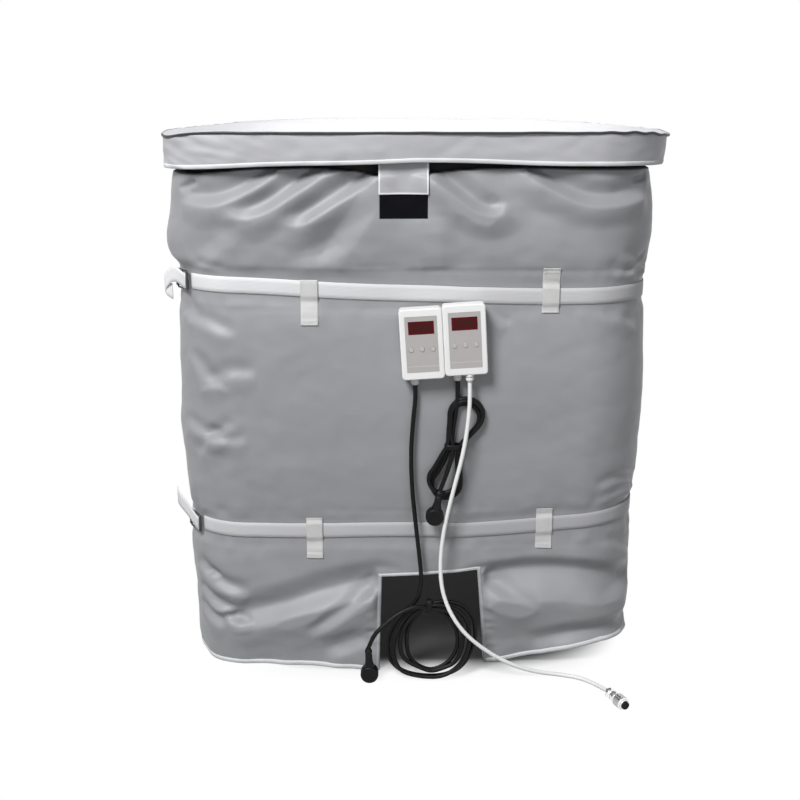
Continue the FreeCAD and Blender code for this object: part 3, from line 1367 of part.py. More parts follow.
barrel = size("connector_barrel") / 2
bore = size("connector_bore") / 2
outer = size("connector_ring") / 2
fit = size("connector_fit")
feature("connector_shell", turned((
    (0, 0), (0, 6.5), (4, 7.5), (5, 9.6), (14, 9.6), (15, 8.4), (18, 8.4), (19, barrel + 1), (29, barrel + 1),
    (30, barrel), (54, barrel), (54, bore), (34, bore), (34, 0),
)))
feature("connector_ring", turned((
    (30.5, barrel + fit), (30.5, outer - 1.5), (32, outer), (50, outer), (51.5, outer - 1.2),
    (51.5, barrel + fit),
)))
feature("connector_insert", turned(((34, 0), (34, bore), (58, bore), (58, 0))))


# Cord ties: a band round the coil's head, and one round the hank's waist

def tie(low, high, axis, wide):
    """A square band round a bundle, from the box that it leaves free: it is open along one axis."""
    thick = size("tie_thickness")
    number = "XYZ".index(axis)
    inner = [list(low), list(high)]
    outer = [[value - thick for value in low], [value + thick for value in high]]
    middle = (low[number] + high[number]) / 2
    for corners, half in ((inner, wide), (outer, wide / 2)):
        corners[0][number] = middle - half
        corners[1][number] = middle + half
    return box(*outer).cut(box(*inner))


half = size("coil_thick") / 2 + size("binding_gap")
coil_tie = tie((-9, -half, 30), (1, half, 92), "X", 9)
coil_tie.Placement = COIL_PLACE
half = size("hank_thick") / 2 + size("binding_gap")
hank_tie = tie((64, hank_y - half, 460), (96, hank_y + half, 470), "Z", 8)
feature("cord_ties", Part.makeCompound([coil_tie, hank_tie]))

# Hand the pieces in

os.makedirs("parts", exist_ok=True)
doc.recompute()
for item in doc.Objects:
    if "Invalid" in item.State or "Error" in item.State:
        raise RuntimeError(f"{item.Name}: {item.State}")
for node in nodes:
    if not node.Shape.isValid() or not node.Shape.Solids:
        raise RuntimeError(f"{node.Label} is not a sound solid")
for node in nodes:
    node.Shape.exportStep(os.path.join("parts", node.Label + ".step"))
print(len(nodes), "nodes")
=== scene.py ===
import math

import bpy
import numpy as np
from mathutils import Matrix, Vector, noise


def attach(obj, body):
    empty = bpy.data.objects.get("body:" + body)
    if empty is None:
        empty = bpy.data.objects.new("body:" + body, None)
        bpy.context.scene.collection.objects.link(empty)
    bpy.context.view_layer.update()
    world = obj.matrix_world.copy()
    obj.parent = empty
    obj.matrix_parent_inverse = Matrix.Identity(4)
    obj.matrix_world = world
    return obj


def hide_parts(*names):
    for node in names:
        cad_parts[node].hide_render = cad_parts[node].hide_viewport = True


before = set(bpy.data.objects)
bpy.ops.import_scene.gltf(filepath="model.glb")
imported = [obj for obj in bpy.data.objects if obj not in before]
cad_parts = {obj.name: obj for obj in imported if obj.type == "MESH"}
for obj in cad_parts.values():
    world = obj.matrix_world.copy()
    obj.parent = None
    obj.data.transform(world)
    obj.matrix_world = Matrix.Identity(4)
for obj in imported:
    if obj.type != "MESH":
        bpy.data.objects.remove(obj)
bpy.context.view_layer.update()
bpy.ops.object.select_all(action="DESELECT")


# Inner lining: a plain woven cloth that lies against the tote. The wall's layers are stitched together
# through it. It is hidden by the tote and shows only through the outlet cut-out.

class Value:
    """A shader socket that can be used in sums: each sum adds its Math node to the material."""

    def __init__(self, finish, socket):
        self.finish = finish
        self.socket = socket

    def join(self, operation, first, second):
        return self.finish.node("ShaderNodeMath", {"operation": operation}, {0: first, 1: second})

    def __add__(self, other):
        return self.join("ADD", self, other)

    def __radd__(self, other):
        return self.join("ADD", other, self)

    def __sub__(self, other):
        return self.join("SUBTRACT", self, other)

    def __rsub__(self, other):
        return self.join("SUBTRACT", other, self)

    def __mul__(self, other):
        return self.join("MULTIPLY", self, other)

    def __rmul__(self, other):
        return self.join("MULTIPLY", other, self)

    def __pow__(self, other):
        return self.join("POWER", self, other)

    def __gt__(self, other):
        return self.join("GREATER_THAN", self, other)


class Finish:
    """A material, or the world's. node() adds any shader node, and paint() feeds the surface."""

    def __init__(self, name, owners=bpy.data.materials, shader="Principled BSDF", **surface):
        self.material = owners.new(name)
        self.material.use_nodes = True
        self.tree = self.material.node_tree
        self.surface = self.tree.nodes[shader]
        self.paint(**surface)

    def feed(self, socket, value):
        if isinstance(value, Value):
            self.tree.links.new(value.socket, socket)
        elif isinstance(value, tuple) and len(value) < len(socket.default_value):
            socket.default_value = (*value, 1)
        else:
            socket.default_value = value

    def node(self, kind, settings=None, inputs=None, output=0):
        made = self.tree.nodes.new(kind)
        for key, value in (settings or {}).items():
            setattr(made, key, value)
        for key, value in (inputs or {}).items():
            self.feed(made.inputs[key], value)
        return Value(self, made.outputs[output])

    def paint(self, **surface):
        for name, value in surface.items():
            self.feed(self.surface.inputs[name.replace("_", " ").title().replace("Ior", "IOR")], value)

    def at(self, axis):
        """The piece's own X, Y or Z, by its number."""
        here = self.node("ShaderNodeTexCoord", output=3)
        return self.node("ShaderNodeSeparateXYZ", inputs={0: here}, output=axis)

    def written(self, name):
        """A number that is written on the piece's vertices."""
        return self.node("ShaderNodeAttribute", {"attribute_name": name}, output=2)

    def noise(self, scale, detail):
        here = self.node("ShaderNodeTexCoord", output=3)
        return self.node("ShaderNodeTexNoise", inputs={"Vector": here, "Scale": scale, "Detail": detail})

    def ribs(self, pitch, along):
        """Fine ribs, 0 to 1, a pitch apart along X or Y of the piece's UV map."""
        wave = {"wave_type": "BANDS", "bands_direction": along, "wave_profile": "SIN"}
        here = self.node("ShaderNodeTexCoord", output=2)
        return self.node("ShaderNodeTexWave", wave, {"Vector": here, "Scale": 2 * math.pi / pitch / 20})

    def ramp(self, value, low, high):
        """0 to 1, as a value goes from low to high."""
        return self.node("ShaderNodeMapRange", inputs={0: value, 1: low, 2: high})

    def blend(self, share, first, second):
        """A colour between two, by a share from 0 to 1."""
        return self.node("ShaderNodeMix", {"data_type": "RGBA"}, {0: share, 6: first, 7: second}, output=2)

    def mottle(self, scale, detail, first, second):
        """A base colour that wanders softly between two."""
        self.paint(base_color=self.blend(self.noise(scale, detail), first, second))

    def bump(self, height, depth, strength=1.0):
        self.paint(normal=self.node("ShaderNodeBump", inputs={"Height": height, "Distance": depth,
                                                              "Strength": strength}))


def dress(finish, *names):
    """Gives CAD nodes a material in place of their plain one."""
    for name in names:
        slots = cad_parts[name].data.materials
        slots.clear()
        slots.append(finish.material)


lining_cloth = Finish("lining_cloth", roughness=0.62, specular_ior_level=0.35)
lining_cloth.mottle(9, 4, (0.30, 0.31, 0.32), (0.40, 0.41, 0.42))
lining_cloth.bump(lining_cloth.noise(900, 1), 0.0004)
dress(lining_cloth, "inner_lining", "lid_lining")


# Wadding: needled glass felt, 18 mm in the wall and 22 mm in the lid, cut in panels and held by the seams.

wadding_felt = Finish("wadding_felt", roughness=0.95, specular_ior_level=0.1)
felt = wadding_felt.noise(60, 6)
wadding_felt.paint(base_color=wadding_felt.blend(felt, (0.50, 0.49, 0.45), (0.72, 0.71, 0.67)))
wadding_felt.bump(felt, 0.002)


# Heating wires and their sensors: silicone-sheathed wire sewn behind the lining in two zones, with a steel
# sensor disc in each, and a sheathed lead from each controller through the wall.

wire_sheath = Finish("wire_sheath", roughness=0.45)
wire_sheath.mottle(30, 2, (0.42, 0.10, 0.07), (0.52, 0.15, 0.10))
dress(wire_sheath, "lower_heating_wire", "upper_heating_wire", "controller_leads")

sensor_steel = Finish("sensor_steel", metallic=1.0, roughness=0.35)
sensor_steel.mottle(200, 2, (0.55, 0.55, 0.54), (0.66, 0.66, 0.65))
dress(sensor_steel, "temperature_sensors")


# Outer cover: a sleeve of polyurethane-coated cloth over the wadding, one length wrapped round the tote and
# closed at the left side. The straps draw it in at two waists, the lid and the cut-out pull it into folds.

# The wall's plan: half of its straight runs, the corners' radius at the tote's face, how far out from there
# the cover lies, where the closing seam is, and how high the wall is
STRAIGHT_X = 0.3225
STRAIGHT_Y = 0.5
CORNER = 0.1
COVER_OUT = 0.0268
SEAM_Y = -0.35
WALL_TOP = 1.018
ARC = (CORNER + COVER_OUT) * math.pi / 2

# The way round the wall, from the closing seam to the right, as one distance that is 0 at the front's middle:
# length of each run, then where the round-corner rectangle's skeleton and its outward angle are at its end
WAY_ROUND = (
    (0, -STRAIGHT_X, SEAM_Y, -180), (SEAM_Y + STRAIGHT_Y, -STRAIGHT_X, -STRAIGHT_Y, -180),
    (ARC, -STRAIGHT_X, -STRAIGHT_Y, -90), (2 * STRAIGHT_X, STRAIGHT_X, -STRAIGHT_Y, -90),
    (ARC, STRAIGHT_X, -STRAIGHT_Y, 0), (2 * STRAIGHT_Y, STRAIGHT_X, STRAIGHT_Y, 0),
    (ARC, STRAIGHT_X, STRAIGHT_Y, 90), (2 * STRAIGHT_X, -STRAIGHT_X, STRAIGHT_Y, 90),
    (ARC, -STRAIGHT_X, STRAIGHT_Y, 180), (STRAIGHT_Y - SEAM_Y, -STRAIGHT_X, SEAM_Y, 180),
)
FIRST = -(STRAIGHT_X + ARC + SEAM_Y + STRAIGHT_Y)
ENDS = FIRST + np.cumsum([run[0] for run in WAY_ROUND])
ROUND = ENDS[-1] - FIRST

# The outlet cut-out: where its sides stand at their foot, at their top and on average, and how high its top
# edge lies at its left and at its right end
CUT_LEFT = (-0.064, -0.059)
CUT_RIGHT = (0.148, 0.131)
CUT_SIDES = (-0.0615, 0.1395)
CUT_TOP = (0.188, 0.203)


def plan(along):
    """The skeleton's x and y and the outward angle at a distance along the wall."""
    here = (np.asarray(along, float) - FIRST) % ROUND + FIRST
    return [np.interp(here, ENDS, [run[k] for run in WAY_ROUND]) for k in (1, 2, 3)]


def flare(along, height):
    """How far the left flap stands out towards its corner at the cut-out."""
    share = np.interp(along, (-STRAIGHT_X, CUT_LEFT[0], CUT_RIGHT[0]), (0, 1, 0), left=0, right=0)
    return 0.030 * share * np.clip(1 - height / 0.205, 0, 1) ** 1.4


def wall(along, height, out):
    """Points on the wall, at a distance out from the tote's face."""
    x, y, angle = plan(along)
    turn = np.radians(angle)
    reach = CORNER + out
    points = [x + reach * np.cos(turn), y + reach * np.sin(turn) - flare(along, height), height + 0 * x]
    return np.stack(np.broadcast_arrays(*points), axis=-1)


# Puffs between hem, straps and lid: where each starts and ends, and how far it stands out
PUFFS = ((0.0, 0.256, 0.006), (0.328, 0.724, 0.010), (0.796, 0.972, 0.008))


def strap_height(which, along):
    """Height of a strap's middle: each runs level on one side of the front and slopes on the other."""
    x, _, angle = plan(along)
    x = x + (CORNER + COVER_OUT) * np.cos(np.radians(angle))
    if which == "upper":
        return np.interp(x, (-0.4225, 0.1), (0.773, 0.750))
    return np.interp(x, (0.1, 0.4225), (0.287, 0.312))


def eased(share):
    """A share from 0 to 1 with soft ends."""
    share = np.clip(share, 0, 1)
    return share * share * (3 - 2 * share)


def bell(value, middle, width):
    """A soft bump: 1 at its middle, and next to nothing two widths away."""
    return np.exp(-((value - middle) / width) ** 2)


def grain(along, height, coarse_along, coarse_up, seed):
    """Soft random slack, -1 to 1, with its own size along and up the wall."""
    spots = zip(np.ravel(along) / coarse_along, np.ravel(height) / coarse_up)
    return np.array([noise.noise((a, b, seed)) for a, b in spots]).reshape(np.shape(along)) * 1.8


# Folds as they lie on the front, in millimetres: points along the crest from left to right, the crest's
# height, its width, the depth of the valley above it, and how full, from 0 to 1, its two ends are
FOLDS = (
    (((-436, 930), (-363, 918), (-303, 938), (-250, 972)), 10, 13, 8.5, 0.5, 1),
    (((-345, 908), (-305, 893), (-259, 911), (-213, 944), (-166, 973)), 11.8, 13.5, 10, 0.1, 1),
    (((-245, 892), (-206, 879), (-155, 916), (-110, 941), (-66, 972)), 11.8, 13.5, 10, 0.1, 1),
    (((-160, 797), (-122, 853), (-84, 910), (-55, 955)), 7, 26, 6, 0.2, 0.8),
    (((352, 372), (400, 384), (452, 372), (490, 350)), 3, 9, 6, 0.3, 0.6),
    (((-408, 802), (-358, 838), (-306, 871)), 3.6, 18, 3.2, 0.3, 0.2),
    (((-230, 803), (-160, 815), (-120, 840)), 3, 15, 2.6, 0.2, 0.4),
    (((34, 973), (76, 940), (121, 904), (150, 897), (172, 922)), 11.5, 13, 10, 1, 0.3),
    (((214, 972), (258, 944), (319, 919), (364, 921), (440, 938)), 11, 13, 10.5, 1, 0.7),
    (((64, 900), (68, 853), (73, 798)), 4.5, 22, 2.4, 0.2, 0.6),
    (((349, 800), (394, 786), (470, 772)), 3.4, 9, 3.4, 0.2, 0.8),
    (((380, 830), (420, 806), (480, 792)), 3.4, 11, 3, 0.2, 0.8),
    (((-430, 706), (-375, 694), (-325, 674)), 4.4, 10, 4, 1, 0.1),
    (((-423, 640), (-385, 588), (-370, 583)), 4.2, 11, 4.2, 0.3, 1),
    (((-372, 583), (-338, 605), (-285, 601)), 3.8, 11, 3.8, 1, 0.1),
    (((-450, 500), (-408, 485), (-374, 476)), 3.8, 10, 4, 0.4, 1),
    (((-374, 476), (-345, 470), (-310, 474)), 3.4, 10, 3.4, 1, 0.1),
    (((-420, 430), (-394, 452), (-374, 476)), 3.2, 10, 3.4, 0.3, 1),
    (((-374, 478), (-355, 492), (-332, 508)), 3.2, 9, 3.4, 1, 0.1),
    (((139, 716), (155, 706), (180, 692)), 2.8, 8, 3, 0.6, 0.2),
    (((350, 716), (385, 706), (440, 684)), 3.4, 9, 3.4, 0.3, 0.8),
    (((-378, 82), (-341, 90), (-274, 107), (-207, 129), (-141, 152), (-66, 166)), 15, 21, 14, 0.5, 1),
    (((-215, 64), (-175, 83), (-142, 109), (-98, 142), (-62, 171)), 5, 11, 8.5, 0.1, 1),
    (((-175, 24), (-130, 38), (-86, 56)), 4.5, 14, 5.5, 0.3, 1),
    (((-446, 204), (-406, 178), (-366, 160), (-318, 149)), 7, 11, 8.5, 0.6, 0.3),
    (((-446, 146), (-398, 124), (-352, 124)), 5.5, 10, 6, 0.6, 0.2),
    (((-446, 110), (-404, 90), (-366, 80)), 6, 11, 5.5, 0.6, 0.8),
    (((136, 157), (204, 168), (269, 172), (335, 170), (389, 156), (475, 128)), 13, 36, 18.5, 1, 0.7),
    (((138, 178), (178, 156), (215, 136), (256, 126)), 5, 12, 5.5, 1, 0.1),
    (((368, 138), (410, 142), (486, 150)), 3.6, 12, 4, 0.1, 0.8),
    (((380, 262), (420, 242), (480, 206)), 3.4, 10, 3.6, 0.3, 0.7),
    (((355, 334), (385, 352), (420, 360), (455, 346), (490, 330)), 4, 10, 4.2, 0.2, 0.5),
    (((230, 34), (290, 50), (350, 62), (430, 62), (500, 48)), 8, 14, 8.5, 0.2, 0.6),
    (((-434, 935), (-414, 943), (-394, 952)), 3, 5, 6, 0.6, 0.6),
    (((404, 950), (428, 953), (452, 962)), 3, 5, 6, 0.6, 0.6),
    (((-405, 804), (-380, 801), (-342, 793)), 4.8, 7, 4, 0.6, 0.3),
    (((395, 788), (430, 795), (468, 812)), 4.8, 7, 4, 0.4, 0.6),
    (((420, 778), (450, 782), (485, 794)), 4.4, 6, 3.6, 0.4, 0.6),
    (((-412, 182), (-398, 186), (-384, 178)), 4.5, 5, 5, 0.8, 0.3),
    (((-395, 120), (-378, 116), (-350, 118)), 5, 6, 4.5, 1, 0.3),
    (((-374, 100), (-355, 94), (-335, 93)), 6, 7, 6, 0.5, 1),
)


def crest_line(points, count=36):
    """A smooth line through a fold's points."""
    points = np.array(points, float)
    spans = np.hypot(*np.diff(points, axis=0).T)
    knots = np.concatenate(([0], np.cumsum(spans)))
    places = np.linspace(0, knots[-1], count)
    line = np.stack([np.interp(places, knots, points[:, k]) for k in (0, 1)], axis=-1)
    for _ in range(30):
        line[1:-1] = (line[:-2] + 2 * line[1:-1] + line[2:]) / 4
    return line


# A fold's face falls from its crest to its valley between these distances from its line, in widths
CREST_SIDE = -0.8
VALLEY_SIDE = 0.85


def folds(along, height):
    """How far the folds push the cover out or in."""
    pushed = np.zeros_like(height)
    for points, crest, width, valley, full_left, full_right in FOLDS:
        line = crest_line(np.array(points) / 1000)
        crest, width, valley = crest / 1000, width / 1000, valley / 1000
        below = np.interp(width, (0.015, 0.0215, 0.036), (3.5, 4.5, 2.4))
        above = np.interp(width, (0.0215, 0.036), (2.4, 1.0))
        low = line.min(axis=0) - (below - CREST_SIDE) * width
        high = line.max(axis=0) + (above + VALLEY_SIDE) * width
        near = (along > low[0]) & (along < high[0]) & (height > low[1]) & (height < high[1])
        if not near.any():
            continue
        here = np.stack([along[near], height[near]], axis=-1)
        start = line[:-1]
        step = np.diff(line, axis=0)
        share = ((here[:, None] - start) * step).sum(-1) / (step * step).sum(-1)
        share = np.clip(share, 0, 1)
        away = here[:, None] - (start + share[..., None] * step)
        far = np.hypot(away[..., 0], away[..., 1])
        best = far.argmin(axis=1)
        pick = np.arange(len(best))
        along_fold = (best + share[pick, best]) / len(step)
        side = step[best, 0] * away[pick, best, 1] - step[best, 1] * away[pick, best, 0]
        gap = far[pick, best] * np.sign(side)
        full = np.interp(along_fold, (0, 0.3, 0.75, 1), (full_left, 1, 1, full_right))
        fade = np.clip(np.minimum(along_fold, 1 - along_fold) / 0.10, 0, 1)
        ends = np.where(along_fold < 0.5, full_left, full_right)
        full = full * (fade + (1 - fade) * np.where(ends > 0.9, 0.7, 0.0))
        place = gap / width
        face = np.clip((VALLEY_SIDE - place) / (VALLEY_SIDE - CREST_SIDE), 0, 1)
        profile = -valley + (crest + valley) * (0.55 * face + 0.45 * eased(face))
        profile = np.where(place > VALLEY_SIDE, -valley * (1 - eased((place - VALLEY_SIDE) / above)), profile)
        profile = np.where(place < CREST_SIDE, crest * (1 - eased((CREST_SIDE - place) / below)), profile)
        pushed[near] += full * profile
    return pushed


def lid_hem(along):
    """Height of the lid's hem: it hangs lower at both sides than in the middle."""
    x, _, angle = plan(along)
    x = x + (CORNER + 0.042) * np.cos(np.radians(angle))
    return np.interp(x, (-0.4225, 0, 0.4225), (0.978, 0.991, 0.983)) + 0.0010 * np.sin(along * 19)


def tuck(along):
    """How far below the lid's hem the cover turns in: it is pulled down most beside the tab."""
    return np.interp(along, (-0.46, -0.40, -0.30, -0.16, -0.10, -0.067, 0.032, 0.08, 0.125, 0.20, 0.40, 0.47),
                     (0.007, 0.010, 0.006, 0.0085, 0.015, 0.023, 0.022, 0.016, 0.012, 0.0075, 0.008, 0.007))


def relief(along, height):
    """How far the cover stands out from its waists: puff, pinch, slack and folds."""
    along = (np.asarray(along, float) - FIRST) % ROUND + FIRST
    height = np.asarray(height, float) + 0 * along
    out = np.zeros_like(height)
    for low, high, most in PUFFS:
        share = np.clip((height - low) / (high - low), 0, 1)
        out += most * np.sin(math.pi * share) ** 0.7

    # loose cloth in three sizes, a pouch at the left front corner, that corner's foot, and a calm middle
    slack = 0.0031 * grain(along, height, 0.17, 0.13, 3.1) + 0.0014 * grain(along, height, 0.08, 0.06, 8.4)
    slack += 0.0006 * grain(along, height, 0.034, 0.024, 5.2)
    slack += 0.011 * bell(along, -0.50, 0.09) * bell(height, 0.838, 0.042)
    slack -= 0.010 * bell(along, -0.55, 0.11) * eased((0.235 - height) / 0.16)
    slack += 0.010 * bell(along, -0.385, 0.055) * eased((0.14 - height) / 0.11)
    middle = bell(along, 0.05, 0.22) * (height > 0.33) * (height < 0.8)
    slack *= 1 - 0.6 * middle

    # the cloth is held flat along the cut-out's tape, and gathered just beyond it
    edge = np.maximum.reduce([CUT_SIDES[0] - along, along - CUT_SIDES[1], height - 0.196])
    bound = 1 - 0.75 * bell(np.maximum(edge, 0), 0, 0.009)
    gathers = 0.0016 * grain(along, height, 0.05, 0.011, 9.4) * bell(edge, 0.016, 0.012)
    out += slack + bound * folds(along, height) + gathers * (height < 0.19)

    # the straps hold it at its waists, with pleats beside them that are deepest at the front corners
    for which, gather, seed in (("upper", 0.0022, 1.7), ("lower", 0.0026, 6.6)):
        away = np.abs(height - strap_height(which, along))
        pleats = gather * grain(along, height, 0.021, 0.11, seed)
        corners = 0.35 + 0.9 * bell(np.abs(along), 0.42, 0.10)
        out += pleats * corners * bell(away, 0.032, 0.020)
        held = 1 - eased((away - 0.0155) / 0.026)
        out = out * (1 - held) + (-0.0022) * held

    # it turns in below the lid's hem, waves a little at its own hem, and lies flat under the closing flap
    out = np.minimum(out, np.interp(height, (0.955, 0.974), (0.020, 0.0032)))
    tucked = eased((height - (lid_hem(along) - tuck(along))) / 0.004)
    out = out * (1 - tucked) - 0.015 * tucked
    hem = bell(height, 0, 0.035)
    out += 0.0028 * hem * grain(along, height, 0.055, 0.2, 2.2)
    seam = eased(np.minimum(along - FIRST, FIRST + ROUND - along) / 0.06)
    return out * seam + (1 - seam) * np.minimum(out, 0)


def hem_height(along):
    """Height of the wall's bottom edge: the right flap's hem is lifted off the ground."""
    lifted = np.interp(along, (CUT_RIGHT[0], 0.378, 0.518, 0.82), (0, 0.046, 0.046, 0), left=0, right=0)
    return lifted + 0.0022 * np.sin(along * 24) * bell(along, 0.3, 0.3)


def cut_top(along):
    """Height of the line that the cut-out's top edge lies on."""
    return np.interp(along, (CUT_LEFT[1], CUT_RIGHT[1]), CUT_TOP)


def cloth(name, columns, rows):
    """A flat grid to be shaped into cloth, and which column and row each of its points is in."""
    bpy.ops.mesh.primitive_grid_add(x_subdivisions=columns - 1, y_subdivisions=rows - 1, size=1)
    made = bpy.context.object
    made.name = name
    flat = np.zeros(3 * len(made.data.vertices))
    made.data.vertices.foreach_get("co", flat)
    flat = flat.reshape(-1, 3)
    column = np.rint((flat[:, 0] + 0.5) * (columns - 1)).astype(int)
    row = np.rint((flat[:, 1] + 0.5) * (rows - 1)).astype(int)
    return made, column, row


def mark(piece, name, values):
    """Writes a number on each of a piece's vertices, for its material."""
    piece.data.attributes.new(name, "FLOAT", "POINT").data.foreach_set("value", values)


def shape(piece, points, map_u, map_v):
    """Puts a piece's vertices in their places, and writes its UV map in metres."""
    mesh = piece.data
    mesh.vertices.foreach_set("co", np.ascontiguousarray(points, float).ravel())
    corners = np.zeros(len(mesh.loops), int)
    mesh.loops.foreach_get("vertex_index", corners)
    mesh.uv_layers.active.data.foreach_set("uv", np.stack([map_u, map_v], -1)[corners].ravel())
    mesh.update()


def edit(piece, *steps):
    """Runs edit-mode steps on a piece, each an operator and its settings."""
    bpy.ops.object.select_all(action="DESELECT")
    piece.select_set(True)
    bpy.context.view_layer.objects.active = piece
    bpy.ops.object.mode_set(mode="EDIT")
    for step, settings in steps:
        step(**settings)
    bpy.ops.object.mode_set(mode="OBJECT")


def merge(threshold):
    """The edit step that joins vertices nearer to each other than a threshold."""
    return bpy.ops.mesh.remove_doubles, {"threshold": threshold}


ALL = (bpy.ops.mesh.select_all, {"action": "SELECT"})
MERGE = merge(0.00002)
OUTWARD = (bpy.ops.mesh.normals_make_consistent, {"inside": False})
CAP_ENDS = ((bpy.ops.mesh.select_mode, {"type": "VERT"}), (bpy.ops.mesh.select_all, {"action": "DESELECT"}),
            (bpy.ops.mesh.select_non_manifold, {}), (bpy.ops.mesh.edge_face_add, {}))


def hand_over(piece, body, slot, finish, *nodes):
    """Gives a shaped piece its material and its body, and hides the CAD nodes that it stands for."""
    piece.data.materials.clear()
    piece.data.materials.append(finish.material)
    piece.data.polygons.foreach_set("use_smooth", [True] * len(piece.data.polygons))
    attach(piece, body)
    if nodes:
        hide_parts(*nodes)
    piece.select_set(False)


def spread(*runs):
    """Places in a row: a start, then how many steps lead to each next place."""
    places = [runs[0]]
    for count, end in runs[1:]:
        places += list(np.linspace(places[-1], end, count + 1)[1:])
    return np.array(places)


def all_round(*counts):
    """Places once round the wall, from a number of steps for each of its runs."""
    return spread(FIRST, *zip(counts, ENDS[1:]))


def select_cut(piece, column, row, sides, top_row):
    """Selects the faces of a piece that lie in the cut-out, between two columns and below a row."""
    inside = (sides[0] <= column) & (column <= sides[1]) & (row <= top_row)
    for face in piece.data.polygons:
        face.select = all(inside[list(face.vertices)])


cover_cloth = Finish("cover_cloth", roughness=0.46, specular_ior_level=0.42)
worn = cover_cloth.noise(3.2, 5)
mottled = cover_cloth.noise(24, 4)
# the tucked-in zone under the lid's hem is painted near black and rougher: painted shade for the deep gap
# under the hem
tucked = cover_cloth.written("tucked")
grey = cover_cloth.blend(worn * 0.75 + mottled * 0.25, (0.276, 0.278, 0.291), (0.325, 0.327, 0.340))
cover_cloth.paint(base_color=cover_cloth.blend(tucked, grey, (0.004, 0.004, 0.005)))
cover_cloth.paint(roughness=0.35 + 0.10 * mottled + 0.4 * tucked)
weave = cover_cloth.ribs(0.0016, "X") * cover_cloth.ribs(0.0016, "Y")
cover_cloth.bump(weave + 0.6 * cover_cloth.noise(420, 2), 0.00022, 0.7)

# the grid's rows at the cut-out's top edge, and where the rows are level again
CUT_ROW = 0.195
LEVEL_ROW = 0.256
columns = spread(FIRST, (14, ENDS[1]), (36, ENDS[2]), (76, CUT_SIDES[0]), (56, CUT_SIDES[1]),
                 *zip((52, 36, 56, 12, 26, 12, 50), ENDS[3:]))
rows = spread(0.0, (50, CUT_ROW), (12, LEVEL_ROW), (16, 0.328), (70, 0.724), (16, 0.796), (46, 0.955),
              (16, 0.995), (3, WALL_TOP))
cover, column, row = cloth("outer_cover_cloth", len(columns), len(rows))
along = columns[column]
height = rows[row]

# up to the cut-out's top edge the rows fill the height that is there, and above it they get level again
below_cut = hem_height(along) + np.clip(height / CUT_ROW, 0, 1) * (cut_top(along) - hem_height(along))
above_cut = cut_top(along) + (height - CUT_ROW) / (LEVEL_ROW - CUT_ROW) * (LEVEL_ROW - cut_top(along))
height = np.where(height <= CUT_ROW, below_cut, np.where(height < LEVEL_ROW, above_cut, height))

# the columns beside the cut-out lean with its sides
left_edge = np.interp(height, (0, CUT_TOP[0]), CUT_LEFT) - CUT_SIDES[0]
right_edge = np.interp(height, (0, CUT_TOP[1]), CUT_RIGHT) - CUT_SIDES[1]
pull_left = np.interp(along, (-0.25, CUT_SIDES[0], 0.039), (0, 1, 0), left=0, right=0)
pull_right = np.interp(along, (0.039, CUT_SIDES[1], 0.30), (0, 1, 0), left=0, right=0)
near_cut = np.clip((LEVEL_ROW - height) / 0.05, 0, 1)
along = along + near_cut * (pull_left * left_edge + pull_right * right_edge)
shape(cover, wall(along, height, COVER_OUT + relief(along, height)), along, height)
# the tucked-in zone is written on the cover, for the painted shade in its material
mark(cover, "tucked", eased((height - (lid_hem(along) - tuck(along)) + 0.0005) / 0.0025))
select_cut(cover, column, row, np.searchsorted(columns, CUT_SIDES), np.searchsorted(rows, CUT_ROW))
bpy.context.scene.tool_settings.mesh_select_mode = (False, False, True)
edit(cover, (bpy.ops.mesh.delete, {"type": "FACE"}), ALL, MERGE)
hand_over(cover, "jacket", "cover_fabric", cover_cloth, "outer_cover")


# Wadding behind the cover: it fills the puffs, so its outer face is shaped with the cover's folds.

PAD_SIDES = (-0.0675, 0.1455)
PAD_CUT_ROW = 0.206
pad_columns = spread(FIRST, (6, ENDS[1]), (12, ENDS[2]), (30, PAD_SIDES[0]), (20, PAD_SIDES[1]),
                     *zip((20, 12, 30, 10, 20, 10, 28), ENDS[3:]))
pad_rows = spread(0.006, (20, PAD_CUT_ROW), (6, LEVEL_ROW), (8, 0.328), (30, 0.724), (8, 0.796), (18, 0.950),
                  (16, 1.012))

# the grid goes up the outer face, down the inner one, and its last row closes it at the bottom
pad, column, row = cloth("wall_wadding", len(pad_columns), 2 * len(pad_rows) + 1)
along = pad_columns[column]
back = row >= len(pad_rows)
level = np.where(back, np.maximum(2 * len(pad_rows) - 1 - row, 0), row)
height = pad_rows[level]
lifted = hem_height(along) * np.clip(1 - height / 0.2, 0, 1)
level_out = relief(along, height + lifted)
above_out = relief(along, height + lifted + 0.007)
outer_face = np.maximum(COVER_OUT + np.minimum(level_out, above_out) - 0.0046, 0.0042)
closing = row == 2 * len(pad_rows)
shape(pad, wall(along, height + lifted, np.where(back & ~closing, 0.0034, outer_face)), along, height)
select_cut(pad, column, level, np.searchsorted(pad_columns, PAD_SIDES),
           np.searchsorted(pad_rows, PAD_CUT_ROW))
edit(pad, (bpy.ops.mesh.delete, {"type": "FACE"}), ALL, merge(0.0001), OUTWARD)
hand_over(pad, "jacket", "wadding", wadding_felt, "insulation")


# Binding tape: a pale woven tape folded over the hem, the cut-out and the top edge, and stitched through.

binding_tape = Finish("binding_tape", roughness=0.6, specular_ior_level=0.3)
binding_tape.mottle(40, 3, (0.67, 0.68, 0.69), (0.80, 0.81, 0.82))
binding_tape.bump(binding_tape.ribs(0.0012, "X"), 0.0002)
LINING_OUT = 0.002


def at_rows(section, row):
    """The numbers of a section's points, for the rows that follow it."""
    return np.array(section, float)[row].T


def folded(here, height, share, lift):
    """Points of a tape that is folded over an edge: its share is 1 on the cover and 0 on the lining."""
    inside = LINING_OUT + lift
    outside = COVER_OUT + relief(here, height) + lift
    return wall(here, height, inside + share * (outside - inside))


